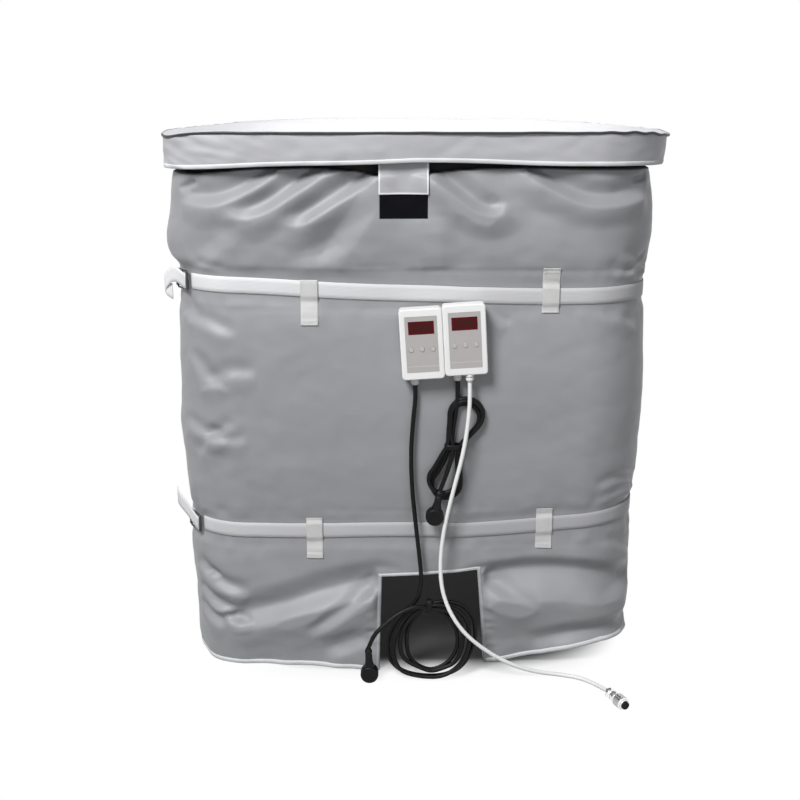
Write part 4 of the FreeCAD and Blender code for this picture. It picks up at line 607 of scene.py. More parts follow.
def tape(name, along, edge_height, rise, node):
    """Tape round an edge: a leg on the cover, the fold over the edge, and a short leg on the lining."""
    thick = 0.0011
    leg = 0.009
    fold = (
        (1, leg + 0.0004, 0.0001), (1, leg, thick), (1, 0.5 * leg, thick * 1.15), (1, 0.0015, thick),
        (1, -0.0004, thick * 0.4), (0.7, -0.0009, 0), (0.3, -0.0009, 0), (0, -0.0006, -0.0006),
        (0, 0.3 * leg, -0.0010), (0, leg, -0.0010),
    )
    made, column, row = cloth(name, len(along), len(fold))
    share, up, lift = at_rows(fold, row)
    height = edge_height[column] + rise * up
    here = along[column]
    shape(made, folded(here, height, share, lift), here, height)
    edit(made, ALL, MERGE, OUTWARD)
    hand_over(made, "jacket", "binding_tape", binding_tape, node)


hem_way = spread(0.1495, *zip((50, 40, 110, 24, 60, 24, 90), ENDS[3:]), (30, ENDS[1] + ROUND),
                 (40, ENDS[2] + ROUND), (70, -0.0655 + ROUND))
hem_way = (hem_way - FIRST) % ROUND + FIRST
tape("hem_tape", hem_way, hem_height(hem_way), 1, "hem_binding")
edge_way = all_round(24, 30, 60, 30, 60, 16, 40, 16, 50)
tape("top_tape", edge_way, WALL_TOP + 0 * edge_way, -1, "top_binding")


def edge_run(start, end, count, away):
    """Places along a straight edge of the cut-out, each with the direction that leads away from it."""
    return [(*place, *away) for place in np.linspace(start, end, count)]


# the cut-out's own tape: pale along the top edge, and painted grey down both sides as painted shade
corner_left = (CUT_LEFT[1], CUT_TOP[0])
corner_right = (CUT_RIGHT[1], CUT_TOP[1])
cut_way = np.array([
    *edge_run((CUT_LEFT[0], 0), corner_left, 40, (-1, 0)), (*corner_left, -1, 1),
    *edge_run(corner_left, corner_right, 44, (0, 1)), (*corner_right, 1, 1),
    *edge_run(corner_right, (CUT_RIGHT[0], 0), 40, (1, 0)),
])
away = cut_way[:, 2:]

# its section: 1 on the cover and 0 on the lining, distance away from the opening, and lift
CUT_FOLD = (
    (1, 0.0060, 0.0001), (1, 0.0056, 0.0011), (1, 0.0034, 0.0013), (1, 0.0012, 0.0011), (1, -0.0003, 0.0004),
    (0.66, -0.0008, 0), (0.33, -0.0008, 0), (0, -0.0004, -0.0006), (0, 0.004, -0.001), (0, 0.009, -0.001),
)
cut_tape, column, row = cloth("cutout_tape", len(cut_way), len(CUT_FOLD))
share, sideways, lift = at_rows(CUT_FOLD, row)
here = cut_way[column, 0] + away[column, 0] * sideways
height = cut_way[column, 1] + away[column, 1] * sideways
shape(cut_tape, folded(here, height, share, lift), here + height, sideways)
mark(cut_tape, "at_side", (away[column, 1] == 0).astype(float))
edit(cut_tape, ALL, OUTWARD)
cutout_tape = Finish("cutout_tape", roughness=0.55, specular_ior_level=0.35)
# the same pale tape is painted grey down both sides: painted shade
at_side = cutout_tape.written("at_side")
pale_tape = cutout_tape.blend(cutout_tape.noise(40, 3), (0.60, 0.61, 0.62), (0.72, 0.73, 0.74))
cutout_tape.paint(base_color=cutout_tape.blend(at_side, pale_tape, (0.41, 0.415, 0.43)))
cutout_tape.bump(cutout_tape.ribs(0.0012, "X"), 0.0002)
hand_over(cut_tape, "jacket", "binding_tape", cutout_tape, "cutout_binding")


# Closing flap: a strip of the cover's cloth on the left side that laps over the seam and closes on the hook
# tape under it, so that the jacket wraps round the tote. The front's loop patch is cut from like pile.

def rimmed(low, high, rim, rim_steps, steps):
    """Places across a strip, closer together in the rim at each end."""
    return spread(low, (rim_steps, low + rim), (steps, high - rim), (rim_steps, high))


def thicken(piece, thick):
    """Gives a sheet its thickness, inwards."""
    solid = piece.modifiers.new("thickness", "SOLIDIFY")
    solid.thickness = thick
    solid.offset = -1
    bpy.context.view_layer.objects.active = piece
    bpy.ops.object.modifier_apply(modifier="thickness")


def strip(name, along, heights, lift, thick, inward, turned=0.006):
    """A flat strip on the cover with a turned and stitched edge: its face, made thick inwards."""
    made, column, row = cloth(name, len(along), len(heights))
    here = along[column]
    height = heights[row]
    near = np.minimum.reduce([np.abs(here - along[0]), np.abs(here - along[-1]),
                              np.abs(height - heights[0]), np.abs(height - heights[-1])])
    rounded = thick * (0.35 + 0.65 * eased(near / 0.0012))
    groove = 0.0004 * bell(near, turned, 0.0010)
    raised = lift(here, height) if callable(lift) else lift
    out = COVER_OUT + relief(here, height) + raised + rounded - groove
    shape(made, wall(here, height, out), here, height)
    thicken(made, inward)
    return made


flap = strip("closing_flap_cloth", rimmed(FIRST - 0.055, FIRST + 0.055, 0.0045, 6, 20),
             rimmed(0.022, 0.960, 0.005, 5, 150), 0.0016, 0.0013, 0.0012)
hand_over(flap, "jacket", "cover_fabric", cover_cloth, "closing_flap")

hook_pile = Finish("hook_pile", roughness=0.95, specular_ior_level=0.05)
hook_pile.mottle(700, 2, (0.003, 0.003, 0.004), (0.010, 0.010, 0.011))
hook_pile.bump(hook_pile.noise(1600, 2), 0.0008)
dress(hook_pile, "lid_tab_hook", "controller_pads")
hook = strip("closing_hook_tape", rimmed(FIRST - 0.025, FIRST + 0.025, 0.0015, 3, 12),
             rimmed(0.024, 0.958, 0.003, 3, 150), 0.0002, 0.0010, 0.0009, 0.003)
hand_over(hook, "jacket", "hook_tape", hook_pile, "closing_hook_strip")

patch = strip("loop_patch_cloth", rimmed(-0.0592, 0.0272, 0.003, 4, 20), rimmed(0.892, 0.956, 0.003, 4, 20),
              0.0003, 0.0012, 0.001, 0.003)
hand_over(patch, "jacket", "loop_fabric", hook_pile, "loop_patch")


# Straps: white polyester webbing, 30 mm wide, drawn tight round the jacket through sewn belt loops. Each
# closes at the left front corner on a wire ring.

webbing = Finish("webbing", roughness=0.55, specular_ior_level=0.4)
# the webbing is painted lighter at its left end and darker towards the right: painted light, for the side
# that is lit more
painted_side_light = webbing.ramp(webbing.at(0), -0.42, 0.42)
# the lower strap is painted darker near its left end
lower_left_darkening = (1 - (webbing.at(2) > 0.5)) * webbing.ramp(webbing.at(0), -0.43, -0.38)
webbing.paint(base_color=webbing.blend(
    0.65 * painted_side_light + 0.4 * lower_left_darkening + 0.3 * webbing.noise(5, 4), (0.78, 0.78, 0.79), (0.415, 0.415, 0.43)))
webbing.bump(webbing.ribs(0.0024, "Y"), 0.00012)

# the webbing's section: distance from its inner face, and height
BELT = (
    (0.0016, -0.0146), (0.0019, -0.0075), (0.0020, 0.0), (0.0019, 0.0075), (0.0016, 0.0146),
    (0.0010, 0.0150), (0.0004, 0.0148), (0.0, 0.0140), (0.0, 0.0), (0.0, -0.0140),
    (0.0004, -0.0148), (0.0010, -0.0150), (0.0016, -0.0146),
)


def corner_place(angle):
    """Distance along the wall of a point on the left front corner, by its angle from straight ahead."""
    return -STRAIGHT_X - ARC * angle / 90


for which, phase in (("upper", 0.4), ("lower", 1.9)):
    belt_way = spread(corner_place(45), (26, -STRAIGHT_X), (110, STRAIGHT_X),
                      *zip((40, 80, 24, 50, 24), ENDS[4:]), (70, FIRST + ROUND - 0.06),
                      (20, FIRST + ROUND + 0.06), (12, ENDS[1] + ROUND), (14, corner_place(65) + ROUND))
    belt, column, row = cloth(which + "_webbing", len(belt_way), len(BELT))
    here = belt_way[column]
    lift, up = at_rows(BELT, row)
    over_flap = eased((0.066 - np.abs(here - FIRST - ROUND)) / 0.010) * 0.0034
    line = strap_height(which, here) + 0.0012 * np.sin(here * 17 + phase)
    out = COVER_OUT - 0.0018 + over_flap + lift
    shape(belt, wall(here, line + up, out), here, up)
    edit(belt, ALL, MERGE, *CAP_ENDS, ALL, OUTWARD)
    hand_over(belt, "jacket", "strap_webbing", webbing, which + "_strap")


# Belt loops: strips of pale cloth sewn to the cover above and below each strap, with the ends turned under.

loop_cloth = Finish("loop_cloth", roughness=0.58, specular_ior_level=0.35)
loop_cloth.mottle(30, 3, (0.60, 0.60, 0.59), (0.73, 0.73, 0.72))
loop_cloth.bump(loop_cloth.ribs(0.0013, "Y") + loop_cloth.ribs(0.0013, "X"), 0.00025)


def on_side(side, place):
    """Distance along the wall of a place on one of its sides."""
    if side == "front":
        return place
    if side == "right":
        return ENDS[4] + place + STRAIGHT_Y
    if side == "back":
        return ENDS[6] + STRAIGHT_X - place
    return ENDS[8] + STRAIGHT_Y - place


# each loop's side, its place along that side, and how far its middle lies below the strap's
LOOPS = {
    "upper": (
        ("front", -0.1895, 0.025), ("front", 0.255, -0.010), ("right", -0.3, 0), ("right", 0.08, 0.008),
        ("right", 0.43, -0.004), ("back", -0.24, 0.006), ("back", 0.24, -0.005), ("left", -0.18, 0.008),
        ("left", 0.11, -0.006), ("left", 0.43, 0.003),
    ),
    "lower": (
        ("front", -0.1895, 0.016), ("front", 0.2585, 0.008), ("right", -0.3, 0.005), ("right", 0.08, -0.004),
        ("right", 0.43, 0.006), ("back", -0.24, -0.004), ("back", 0.24, 0.005), ("left", -0.18, 0.006),
        ("left", 0.11, -0.003), ("left", 0.43, 0.005),
    ),
}
sewn_loops = []
for which, places in LOOPS.items():
    for side, place, drop in places:
        middle = on_side(side, place)
        centre = float(strap_height(which, middle)) - drop

        def over_strap(a, z, which=which, centre=centre):
            """A loop's lift: over the strap, down to the cover, and doubled where its ends are turned."""
            away = np.abs(z - strap_height(which, a))
            hump = 0.0042 * (1 - eased((away - 0.012) / 0.014)) + 0.0004
            ends = eased((np.abs(z - centre) - 0.0305) / 0.0015)
            return hump * (1 - ends) + ends * np.maximum(hump, 0.0014)

        loop = strip("belt_loop", rimmed(middle - 0.016, middle + 0.016, 0.0015, 3, 12),
                     rimmed(centre - 0.042, centre + 0.042, 0.002, 3, 44), over_strap, 0.0012, 0.0011, 0.0035)
        sewn_loops.append(loop)
bpy.ops.object.select_all(action="DESELECT")
for loop in sewn_loops:
    loop.select_set(True)
bpy.context.view_layer.objects.active = sewn_loops[0]
bpy.ops.object.join()
loops = bpy.context.object
loops.name = "sewn_belt_loops"
hand_over(loops, "jacket", "loop_fabric", loop_cloth, "belt_loops")


# Ring buckles and free tails: a black coated wire ring with a bar on the left front corner, the strap's ends
# folded round its wires, and the free end led over it and curled back.

coated_wire = Finish("coated_wire", roughness=0.38)
coated_wire.mottle(90, 3, (0.010, 0.010, 0.011), (0.030, 0.030, 0.032))
coated_wire.bump(coated_wire.noise(500, 2), 0.0001)
dress(coated_wire, "upper_buckle", "lower_buckle")

# where a buckle sits on the corner, in degrees round from the front
BUCKLE_ANGLE = 56


def buckle_frame(which):
    """A buckle's own frame: X along the strap, Y outwards, Z up."""
    middle = math.radians(BUCKLE_ANGLE)
    outward = Vector((-math.sin(middle), -math.cos(middle), 0))
    along_strap = Vector((-math.cos(middle), math.sin(middle), 0))
    spot = Vector((-STRAIGHT_X, -STRAIGHT_Y, 0)) + outward * (CORNER + 0.0287 + 0.00275)
    spot.z = float(strap_height(which, corner_place(BUCKLE_ANGLE)))
    turned = Matrix((along_strap, outward, Vector((0, 0, 1)))).transposed().to_4x4()
    return Matrix.Translation(spot) @ turned


def ribbon(name, points, width, thick, count=60, frame_at=Matrix.Identity(4)):
    """Webbing led along points, its width held upright, with rounded edges."""
    line = crest_line([(p[0], p[1]) for p in points], count)
    knots = np.linspace(0, 1, len(points))
    rise = np.interp(np.linspace(0, 1, count), knots, [p[2] for p in points])
    for _ in range(8):
        rise[1:-1] = (rise[:-2] + 2 * rise[1:-1] + rise[2:]) / 4
    heading = np.gradient(line, axis=0)
    heading /= np.hypot(heading[:, 0], heading[:, 1])[:, None]
    sideways = np.stack([-heading[:, 1], heading[:, 0]], -1)
    edge = ((0.5, -0.97), (0.5, -0.5), (0.5, 0), (0.5, 0.5), (0.5, 0.97), (0, 1), (-0.5, 0.97), (-0.5, 0.5),
            (-0.5, 0), (-0.5, -0.5), (-0.5, -0.97), (0, -1), (0.5, -0.97))
    made, column, row = cloth(name, count, len(edge))
    across, up = at_rows(edge, row)
    flat = line[column] + sideways[column] * (across * thick)[:, None]
    points = np.stack([flat[:, 0], flat[:, 1], rise[column] + up * width / 2, np.ones(len(flat))], -1)
    placed = points @ np.array(frame_at).T
    length = np.concatenate(([0], np.cumsum(np.hypot(*np.diff(line, axis=0).T))))
    shape(made, placed[:, :3], length[column], up * width / 2)
    edit(made, ALL, MERGE, *CAP_ENDS, ALL, OUTWARD)
    return made


# each tail's middle line in its buckle's frame
TAILS = {
    "upper": ((-0.020, 0.0030, -0.001), (-0.010, 0.0040, 0), (0.002, 0.0060, 0.004), (0.014, 0.0115, 0.009),
              (0.026, 0.0190, 0.009), (0.034, 0.0245, 0.001), (0.035, 0.0245, -0.011),
              (0.030, 0.0190, -0.021), (0.023, 0.0115, -0.026)),
    "lower": ((-0.020, 0.0030, -0.001), (-0.008, 0.0040, 0.002), (0.006, 0.0065, 0.010),
              (0.018, 0.0115, 0.021), (0.029, 0.0170, 0.031), (0.039, 0.0190, 0.040),
              (0.046, 0.0165, 0.046)),
}
for which in ("upper", "lower"):
    tail = ribbon(which + "_tail", TAILS[which], 0.030, 0.0017, 70, buckle_frame(which))
    hand_over(tail, "jacket", "tail_webbing", webbing, which + "_strap_tail")
    bend = [(0.0225 + 0.0032 * math.cos(a), -0.0032 * math.sin(a), 0)
            for a in np.linspace(-0.5 * math.pi, 0.9 * math.pi, 9)]
    sleeve = ribbon(which + "_sleeve", bend, 0.029, 0.0014, 30, buckle_frame(which))
    hand_over(sleeve, "jacket", "strap_webbing", webbing)


# Lid: a shallow padded cap of the cover's cloth, lighter on top, with a bound hem on its skirt and a dark
# piping round the top edge. It drops over the wall and is held by one tab at the front.

LID_EDGE = 1.0429
LID_LOW = 0.965


def droop(along):
    """How far the lid's edge sinks at its front corners, where nothing holds it up."""
    return 0.0085 * bell(along, -0.462, 0.060) + 0.0065 * bell(along, 0.480, 0.060)


def lid_out(along, height):
    """How far the skirt stands out: it opens towards the top and sags a little between its seams."""
    share = (height - LID_LOW) / (LID_EDGE - LID_LOW)
    left = bell(along, -0.42, 0.12)
    slack = 0.0016 * grain(along, height, 0.12, 0.05, 4.4) + 0.0007 * grain(along, height, 0.03, 0.02, 9.1)
    slack += 0.0016 * left * grain(along, height + 0.25 * along, 0.05, 0.012, 2.9)
    tab = bell(along, -0.016, 0.05) * 0.0015
    body = np.sin(math.pi * np.clip(share, 0, 1)) * 0.0022
    flat = np.interp(along, (-0.40, -0.28, 0.3, 0.45, 0.9, 2.2, 2.5),
                     (0.001, 0.009, 0.009, 0.014, 0.009, 0.009, 0.001))
    return 0.0421 + flat * share + body + tab + slack * eased((LID_EDGE - height) / 0.01 + 0.3)


lid_cloth = Finish("lid_cloth", roughness=0.46, specular_ior_level=0.5)
lid_cloth.mottle(5, 5, (0.410, 0.410, 0.434), (0.480, 0.480, 0.503))
weave = lid_cloth.ribs(0.0016, "X") * lid_cloth.ribs(0.0016, "Y")
lid_cloth.bump(weave + 0.6 * lid_cloth.noise(420, 2), 0.00022, 0.7)

# the cap's grid goes up the skirt, round the edge and in over the top to a spine along its middle
lid_way = all_round(16, 34, 150, 34, 90, 20, 60, 20, 76)
SKIRT = spread(0.0, (16, 1.0))
TOP = (0.006, 0.022, 0.05, 0.09, 0.14, 0.20, 0.27, 0.35, 0.44, 0.53, 0.63, 0.74, 0.86, 1.0)
lid, column, row = cloth("lid_cover_cloth", len(lid_way), len(SKIRT) + len(TOP) + 2)
here = lid_way[column]
skirt_share = SKIRT[np.clip(row, 0, len(SKIRT) - 1)]
height = lid_hem(here) + skirt_share * (LID_EDGE - 0.004 - droop(here) - lid_hem(here))
points = wall(here, height, lid_out(here, height))
rim = wall(here, LID_EDGE + 0 * here, lid_out(here, LID_EDGE + 0 * here))
spine_x, spine_y = 0 * here, np.clip(rim[:, 1], -0.21, 0.21)
shares = np.array((0, 0) + TOP)[np.clip(row - len(SKIRT), 0, len(TOP) + 1)]
top = np.stack([
    rim[:, 0] + shares * (spine_x - rim[:, 0]), rim[:, 1] + shares * (spine_y - rim[:, 1]),
    LID_EDGE + 0 * here], axis=-1)

# the top has a crown, a sag and wrinkles of its own, and its edge droops at the front corners
crown = 0.011 * (1 - (1 - np.clip(shares / 0.55, 0, 1)) ** 2)
sag = 0.0026 * np.array([noise.noise((x * 5, y * 5, 7.7)) for x, y in top[:, :2]]) * eased(shares / 0.1)
wrinkle = 0.0012 * np.array([noise.noise((x * 26, y * 26, 1.7)) for x, y in top[:, :2]])
wrinkle *= eased(shares / 0.05)
top[:, 2] += crown + sag + wrinkle - droop(here) * (1 - eased(shares / 0.35))
top[:, 2] -= np.where(row == len(SKIRT), 0.0016, 0) + np.where(row == len(SKIRT) + 1, 0.0002, 0)
on_top = row >= len(SKIRT)
points[on_top] = top[on_top]
shape(lid, points, here, np.where(on_top, LID_EDGE + shares * 0.4, height))
edit(lid, ALL, merge(0.0004), OUTWARD)
hand_over(lid, "lid", "lid_fabric", lid_cloth, "lid_cover")

# the lid's wadding: the cap's own form, 1.5 mm inside it and 8 mm thick
filling, column, row = cloth("lid_wadding", 120, 22)
here = np.linspace(FIRST, FIRST + ROUND, 120)[column]
level = np.clip(row / 8, 0, 1)
height = lid_hem(here) + 0.006 + level * (LID_EDGE - 0.012 - droop(here) - lid_hem(here))
inward = 0.0016 + 0.002 * (level == 0)
points = wall(here, height, lid_out(here, height) - inward)
rim = wall(here, LID_EDGE - 0.003 + 0 * here, lid_out(here, LID_EDGE + 0 * here) - 0.004)
shares = np.clip((row - 8) / 13, 0, 1)
top = np.stack([rim[:, 0] * (1 - shares), rim[:, 1] + shares * (np.clip(rim[:, 1], -0.21, 0.21) - rim[:, 1]),
                LID_EDGE - 0.004 + 0.009 * (1 - (1 - np.clip(shares / 0.55, 0, 1)) ** 2)
                - droop(here) * (1 - eased(shares / 0.35))], -1)
points[row > 8] = top[row > 8]
shape(filling, points, here, height)
edit(filling, ALL, merge(0.0004), OUTWARD)
thicken(filling, 0.008)
hand_over(filling, "lid", "wadding", wadding_felt, "lid_insulation")

# the skirt's hem binding: height above the hem, and distance out from the skirt's cloth
HEM_FOLD = ((0.0072, 0.0002), (0.0068, 0.0010), (0.004, 0.0013), (0.0006, 0.0011), (-0.0006, 0.0002),
            (-0.0006, -0.0080), (-0.0004, -0.0108), (0.004, -0.0112), (0.0070, -0.0110))
lid_tape, column, row = cloth("lid_hem_tape", len(lid_way), len(HEM_FOLD))
here = lid_way[column]
up, lift = at_rows(HEM_FOLD, row)
height = lid_hem(here) + up
points = wall(here, height, lid_out(here, height) + lift)
shape(lid_tape, points, here, up)
edit(lid_tape, ALL, MERGE, OUTWARD)
hand_over(lid_tape, "lid", "binding_tape", binding_tape, "lid_hem_binding")

piping_cloth = Finish("piping_cloth", roughness=0.5)
piping_cloth.mottle(120, 3, (0.006, 0.006, 0.008), (0.018, 0.019, 0.022))
piping_cloth.bump(piping_cloth.noise(900, 2), 0.0002)
piping, column, row = cloth("lid_edge_piping", len(lid_way), 11)
here = lid_way[column]
turn = row / 10 * 2 * math.pi
edge_height = LID_EDGE - 0.0017 - droop(here) + 0.0007 * grain(here, 0 * here, 0.06, 1, 3.3)
rim_out = lid_out(here, LID_EDGE + 0 * here) + 0.0012
puckered = 0.0012 * bell(here, 0.40, 0.07) * np.sin(here * 170)
points = wall(here, edge_height + puckered + 0.0024 * np.sin(turn), rim_out + 0.0021 * np.cos(turn))
shape(piping, points, here, turn)
edit(piping, ALL, MERGE, OUTWARD)
hand_over(piping, "lid", "piping", piping_cloth, "lid_piping")


def tab_lift(along, height):
    """The tab's lift: on the loop patch at its foot, and straight up from there to behind the lid's hem."""
    foot = relief(along, 0.940 + 0 * height) + 0.0026
    share = (height - 0.940) / 0.045
    hanging = foot + np.clip(share, 0, 1) * (0.0062 - foot)
    return np.where(height > 0.940, np.maximum(hanging - relief(along, height), 0.0026), 0.0026)


tab = strip("lid_tab_cloth", rimmed(-0.061, 0.029, 0.003, 4, 24),
            spread(0.934, (4, 0.937), (26, 0.999), (3, 1.002)), tab_lift, 0.0014, 0.0013, 0.0045)
tab_cloth = Finish("tab_cloth", roughness=0.46, specular_ior_level=0.5)
inner = (tab_cloth.at(0) > -0.0580) * (1 - (tab_cloth.at(0) > 0.0258)) * (tab_cloth.at(2) > 0.9375)
plain_grey = tab_cloth.blend(tab_cloth.noise(9, 4), (0.36, 0.36, 0.378), (0.41, 0.41, 0.43))
tab_cloth.paint(base_color=tab_cloth.blend(inner, (0.70, 0.70, 0.72), plain_grey))
tab_cloth.bump(tab_cloth.ribs(0.0016, "X") * tab_cloth.ribs(0.0016, "Y"), 0.00022, 0.7)
hand_over(tab, "lid", "lid_fabric", tab_cloth, "lid_tab")


# Controllers: two moulded boxes held on the cover by hook and loop. White case halves, a grey face panel with
# a red display window and three keys, and screwed cable glands below.

case_white = Finish("case_white", roughness=0.34, coat_weight=0.15)
case_white.mottle(14, 4, (0.80, 0.80, 0.79), (0.86, 0.86, 0.855))
case_white.bump(case_white.noise(1500, 2), 0.00006)

# the middle of each case, the plane of their backs, and how far they lean to the left
CASE_MIDDLES = {"left": (0.0175, 0.667), "right": (0.0965, 0.675)}
CASE_BACK = -0.63713
CASE_TILT = math.radians(3.5)


def in_case(finish, side):
    """A material's own X and Z on a controller's front, from the middle of its case."""
    centre_x, centre_z = CASE_MIDDLES[side]
    here = finish.node("ShaderNodeTexCoord", output=3)
    moved = finish.node("ShaderNodeVectorMath", {"operation": "SUBTRACT"},
                        {0: here, 1: (centre_x, 0, centre_z)})
    turned_back = finish.node("ShaderNodeVectorRotate", {"rotation_type": "Y_AXIS"},
                              {"Vector": moved, "Angle": CASE_TILT})
    return [finish.node("ShaderNodeSeparateXYZ", inputs={0: turned_back}, output=k) for k in (0, 2)]


# each panel has a pale line near its foot, and each red window a darker display module behind it
for side in ("left", "right"):
    panel_grey = Finish(side + "_panel_grey", roughness=0.5)
    up = in_case(panel_grey, side)[1]
    low_line = (up > -0.0412) * (1 - (up > -0.0400))
    grey = panel_grey.blend(panel_grey.noise(60, 3), (0.405, 0.385, 0.380), (0.450, 0.430, 0.425))
    panel_grey.paint(base_color=panel_grey.blend(low_line, grey, (0.55, 0.53, 0.525)))
    panel_grey.bump(panel_grey.noise(2500, 1), 0.00005)
    dress(panel_grey, side + "_panel")
    display_red = Finish(side + "_display_red", roughness=0.42, specular_ior_level=0.15)
    across, up = in_case(display_red, side)
    far_up = (up - 0.031) * (up - 0.031)
    module = (1 - (across * across > 0.0185 ** 2)) * (1 - (far_up > 0.0070 ** 2))
    film = display_red.blend(display_red.noise(70, 2), (0.066, 0.0012, 0.0024), (0.084, 0.0022, 0.0036))
    display_red.paint(base_color=display_red.blend(module, film, (0.044, 0.0050, 0.0048)))
    dress(display_red, side + "_display_window")
key_silver = Finish("key_silver", roughness=0.35)
key_silver.mottle(300, 2, (0.45, 0.43, 0.425), (0.52, 0.50, 0.495))
board_green = Finish("board_green", roughness=0.4)
board_green.mottle(120, 3, (0.01, 0.12, 0.05), (0.02, 0.20, 0.09))
screw_steel = Finish("screw_steel", roughness=0.3, metallic=1.0)
screw_steel.mottle(400, 2, (0.5, 0.5, 0.5), (0.62, 0.62, 0.62))
gland_nylon = Finish("gland_nylon", roughness=0.4)
gland_nylon.mottle(50, 3, (0.70, 0.70, 0.68), (0.80, 0.80, 0.78))
gland_nylon.bump(gland_nylon.noise(1500, 2), 0.00006)
for side in ("left", "right"):
    dress(case_white, side + "_rear_case", side + "_front_case")
    dress(board_green, side + "_circuit_board")
    dress(key_silver, side + "_left_button", side + "_middle_button", side + "_right_button")
dress(screw_steel, "case_screws")


# Cable glands: nylon bodies screwed into the cases, each with a ribbed dome nut that grips its cord.

def turned(name, profile, centre, axis, segments=40):
    """A turned piece: pairs of distance along an axis and radius, from one end to the other."""
    made, column, row = cloth(name, segments + 1, len(profile))
    turn = column / segments * 2 * math.pi
    along_axis, radius = at_rows(profile, row)
    axis = Vector(axis).normalized()
    side = axis.orthogonal().normalized()
    other = axis.cross(side)
    points = np.array(centre) + along_axis[:, None] * np.array(axis)
    points = points + (radius * np.cos(turn))[:, None] * np.array(side)
    points = points + (radius * np.sin(turn))[:, None] * np.array(other)
    shape(made, points, turn, along_axis)
    edit(made, ALL, MERGE, OUTWARD)
    return made


def case_point(side, x, depth, z):
    """A point of a controller, from its own frame: x, distance in front of its back, and z."""
    centre_x, centre_z = CASE_MIDDLES[side]
    return Vector((centre_x + x * math.cos(CASE_TILT) - z * math.sin(CASE_TILT), CASE_BACK - depth,
                   centre_z + x * math.sin(CASE_TILT) + z * math.cos(CASE_TILT)))


# the nut's ribs: from where to where they run along it, how deep they are to its radius, and their number
GRIP = (0.0074, 0.0125)
RIB_DEPTH = 0.035
RIBS = 12
GLAND = ((0, 0.0), (0, 0.0072), (0.0015, 0.0077), (0.0058, 0.0077), (0.0062, 0.0070), (0.0070, 0.0070),
         (0.0075, 0.0076), (0.0112, 0.0073), (0.0132, 0.0062), (0.0142, 0.0048), (0.0142, 0.0))
for name, side, x, depth in (("left_mains_gland", "left", -0.0165, 0.0095),
                             ("right_mains_gland", "right", -0.0165, 0.0095),
                             ("right_sensor_gland", "right", 0.0055, 0.0215)):
    top = case_point(side, x, depth, -0.0655)
    way = case_point(side, x, depth, -0.0755) - top
    ahead = way.normalized()
    gland = turned(name + "_nut", GLAND, top, way, 48)
    for vertex in gland.data.vertices:
        reach = (vertex.co - top).dot(ahead)
        if GRIP[0] < reach < GRIP[1]:
            centre = top + ahead * reach
            arm = vertex.co - centre
            inward = Vector((0, 1, 0))
            angle = math.atan2(arm.dot(inward), arm.dot(inward.cross(ahead)))
            vertex.co = centre + arm * (1 + RIB_DEPTH * math.cos(RIBS * angle))
    hand_over(gland, "jacket", "gland_white", gland_nylon, name)


# Cords: black sheathed mains cords, one coiled and one folded into a hank, and a pale sensor cord to a round
# metal connector on the ground. Each leaves its gland and ends in its plug.

rubber = Finish("rubber", roughness=0.40, specular_ior_level=0.16)
rubber.mottle(50, 3, (0.0020, 0.0020, 0.0022), (0.006, 0.006, 0.0065))
rubber.bump(rubber.noise(260, 2), 0.0002)
pale_sheath = Finish("pale_sheath", roughness=0.5)
pale_sheath.mottle(20, 3, (0.80, 0.80, 0.79), (0.88, 0.88, 0.87))
pale_sheath.bump(pale_sheath.noise(200, 2), 0.00015)


def cord_line(name, points, diameter, finish):
    """A free cord: one open spline with a round section."""
    line = bpy.data.curves.new(name, "CURVE")
    line.dimensions = "3D"
    line.bevel_depth = diameter / 2
    line.bevel_resolution = 4
    line.resolution_u = 8
    line.use_fill_caps = True
    spline = line.splines.new("NURBS")
    spline.points.add(len(points) - 1)
    for point, spot in zip(spline.points, points):
        point.co = (*spot, 1)
    spline.order_u = 3
    spline.use_endpoint_u = True
    cord = bpy.data.objects.new(name, line)
    bpy.context.scene.collection.objects.link(cord)
    line.materials.append(finish.material)
    return cord


# the coil, as seen square on: the outermost and the innermost turn's places, anticlockwise from its tie
OUTER_TURN = ((-34, 64), (-62, 38), (-80, 9), (-88, -22), (-84, -48), (-60, -70), (-20, -80), (22, -80),
              (58, -66), (80, -33), (88, 5), (80, 45), (48, 68))
INNER_TURN = ((-28, 41), (-43, 20), (-48, -3), (-46, -24), (-39, -45), (-22, -62), (0, -69), (24, -61),
              (42, -42), (50, -18), (48, 6), (40, 27), (24, 43))


def in_coil(x, y, z):
    """A place in the leaning coil, from millimetres seen square on."""
    lean = math.radians(12.5)
    return (0.039 + x / 1000, -0.678 + (y * math.cos(lean) + z * math.sin(lean)) / 1000,
            0.085 + (z * math.cos(lean) - y * math.sin(lean)) / 1000)


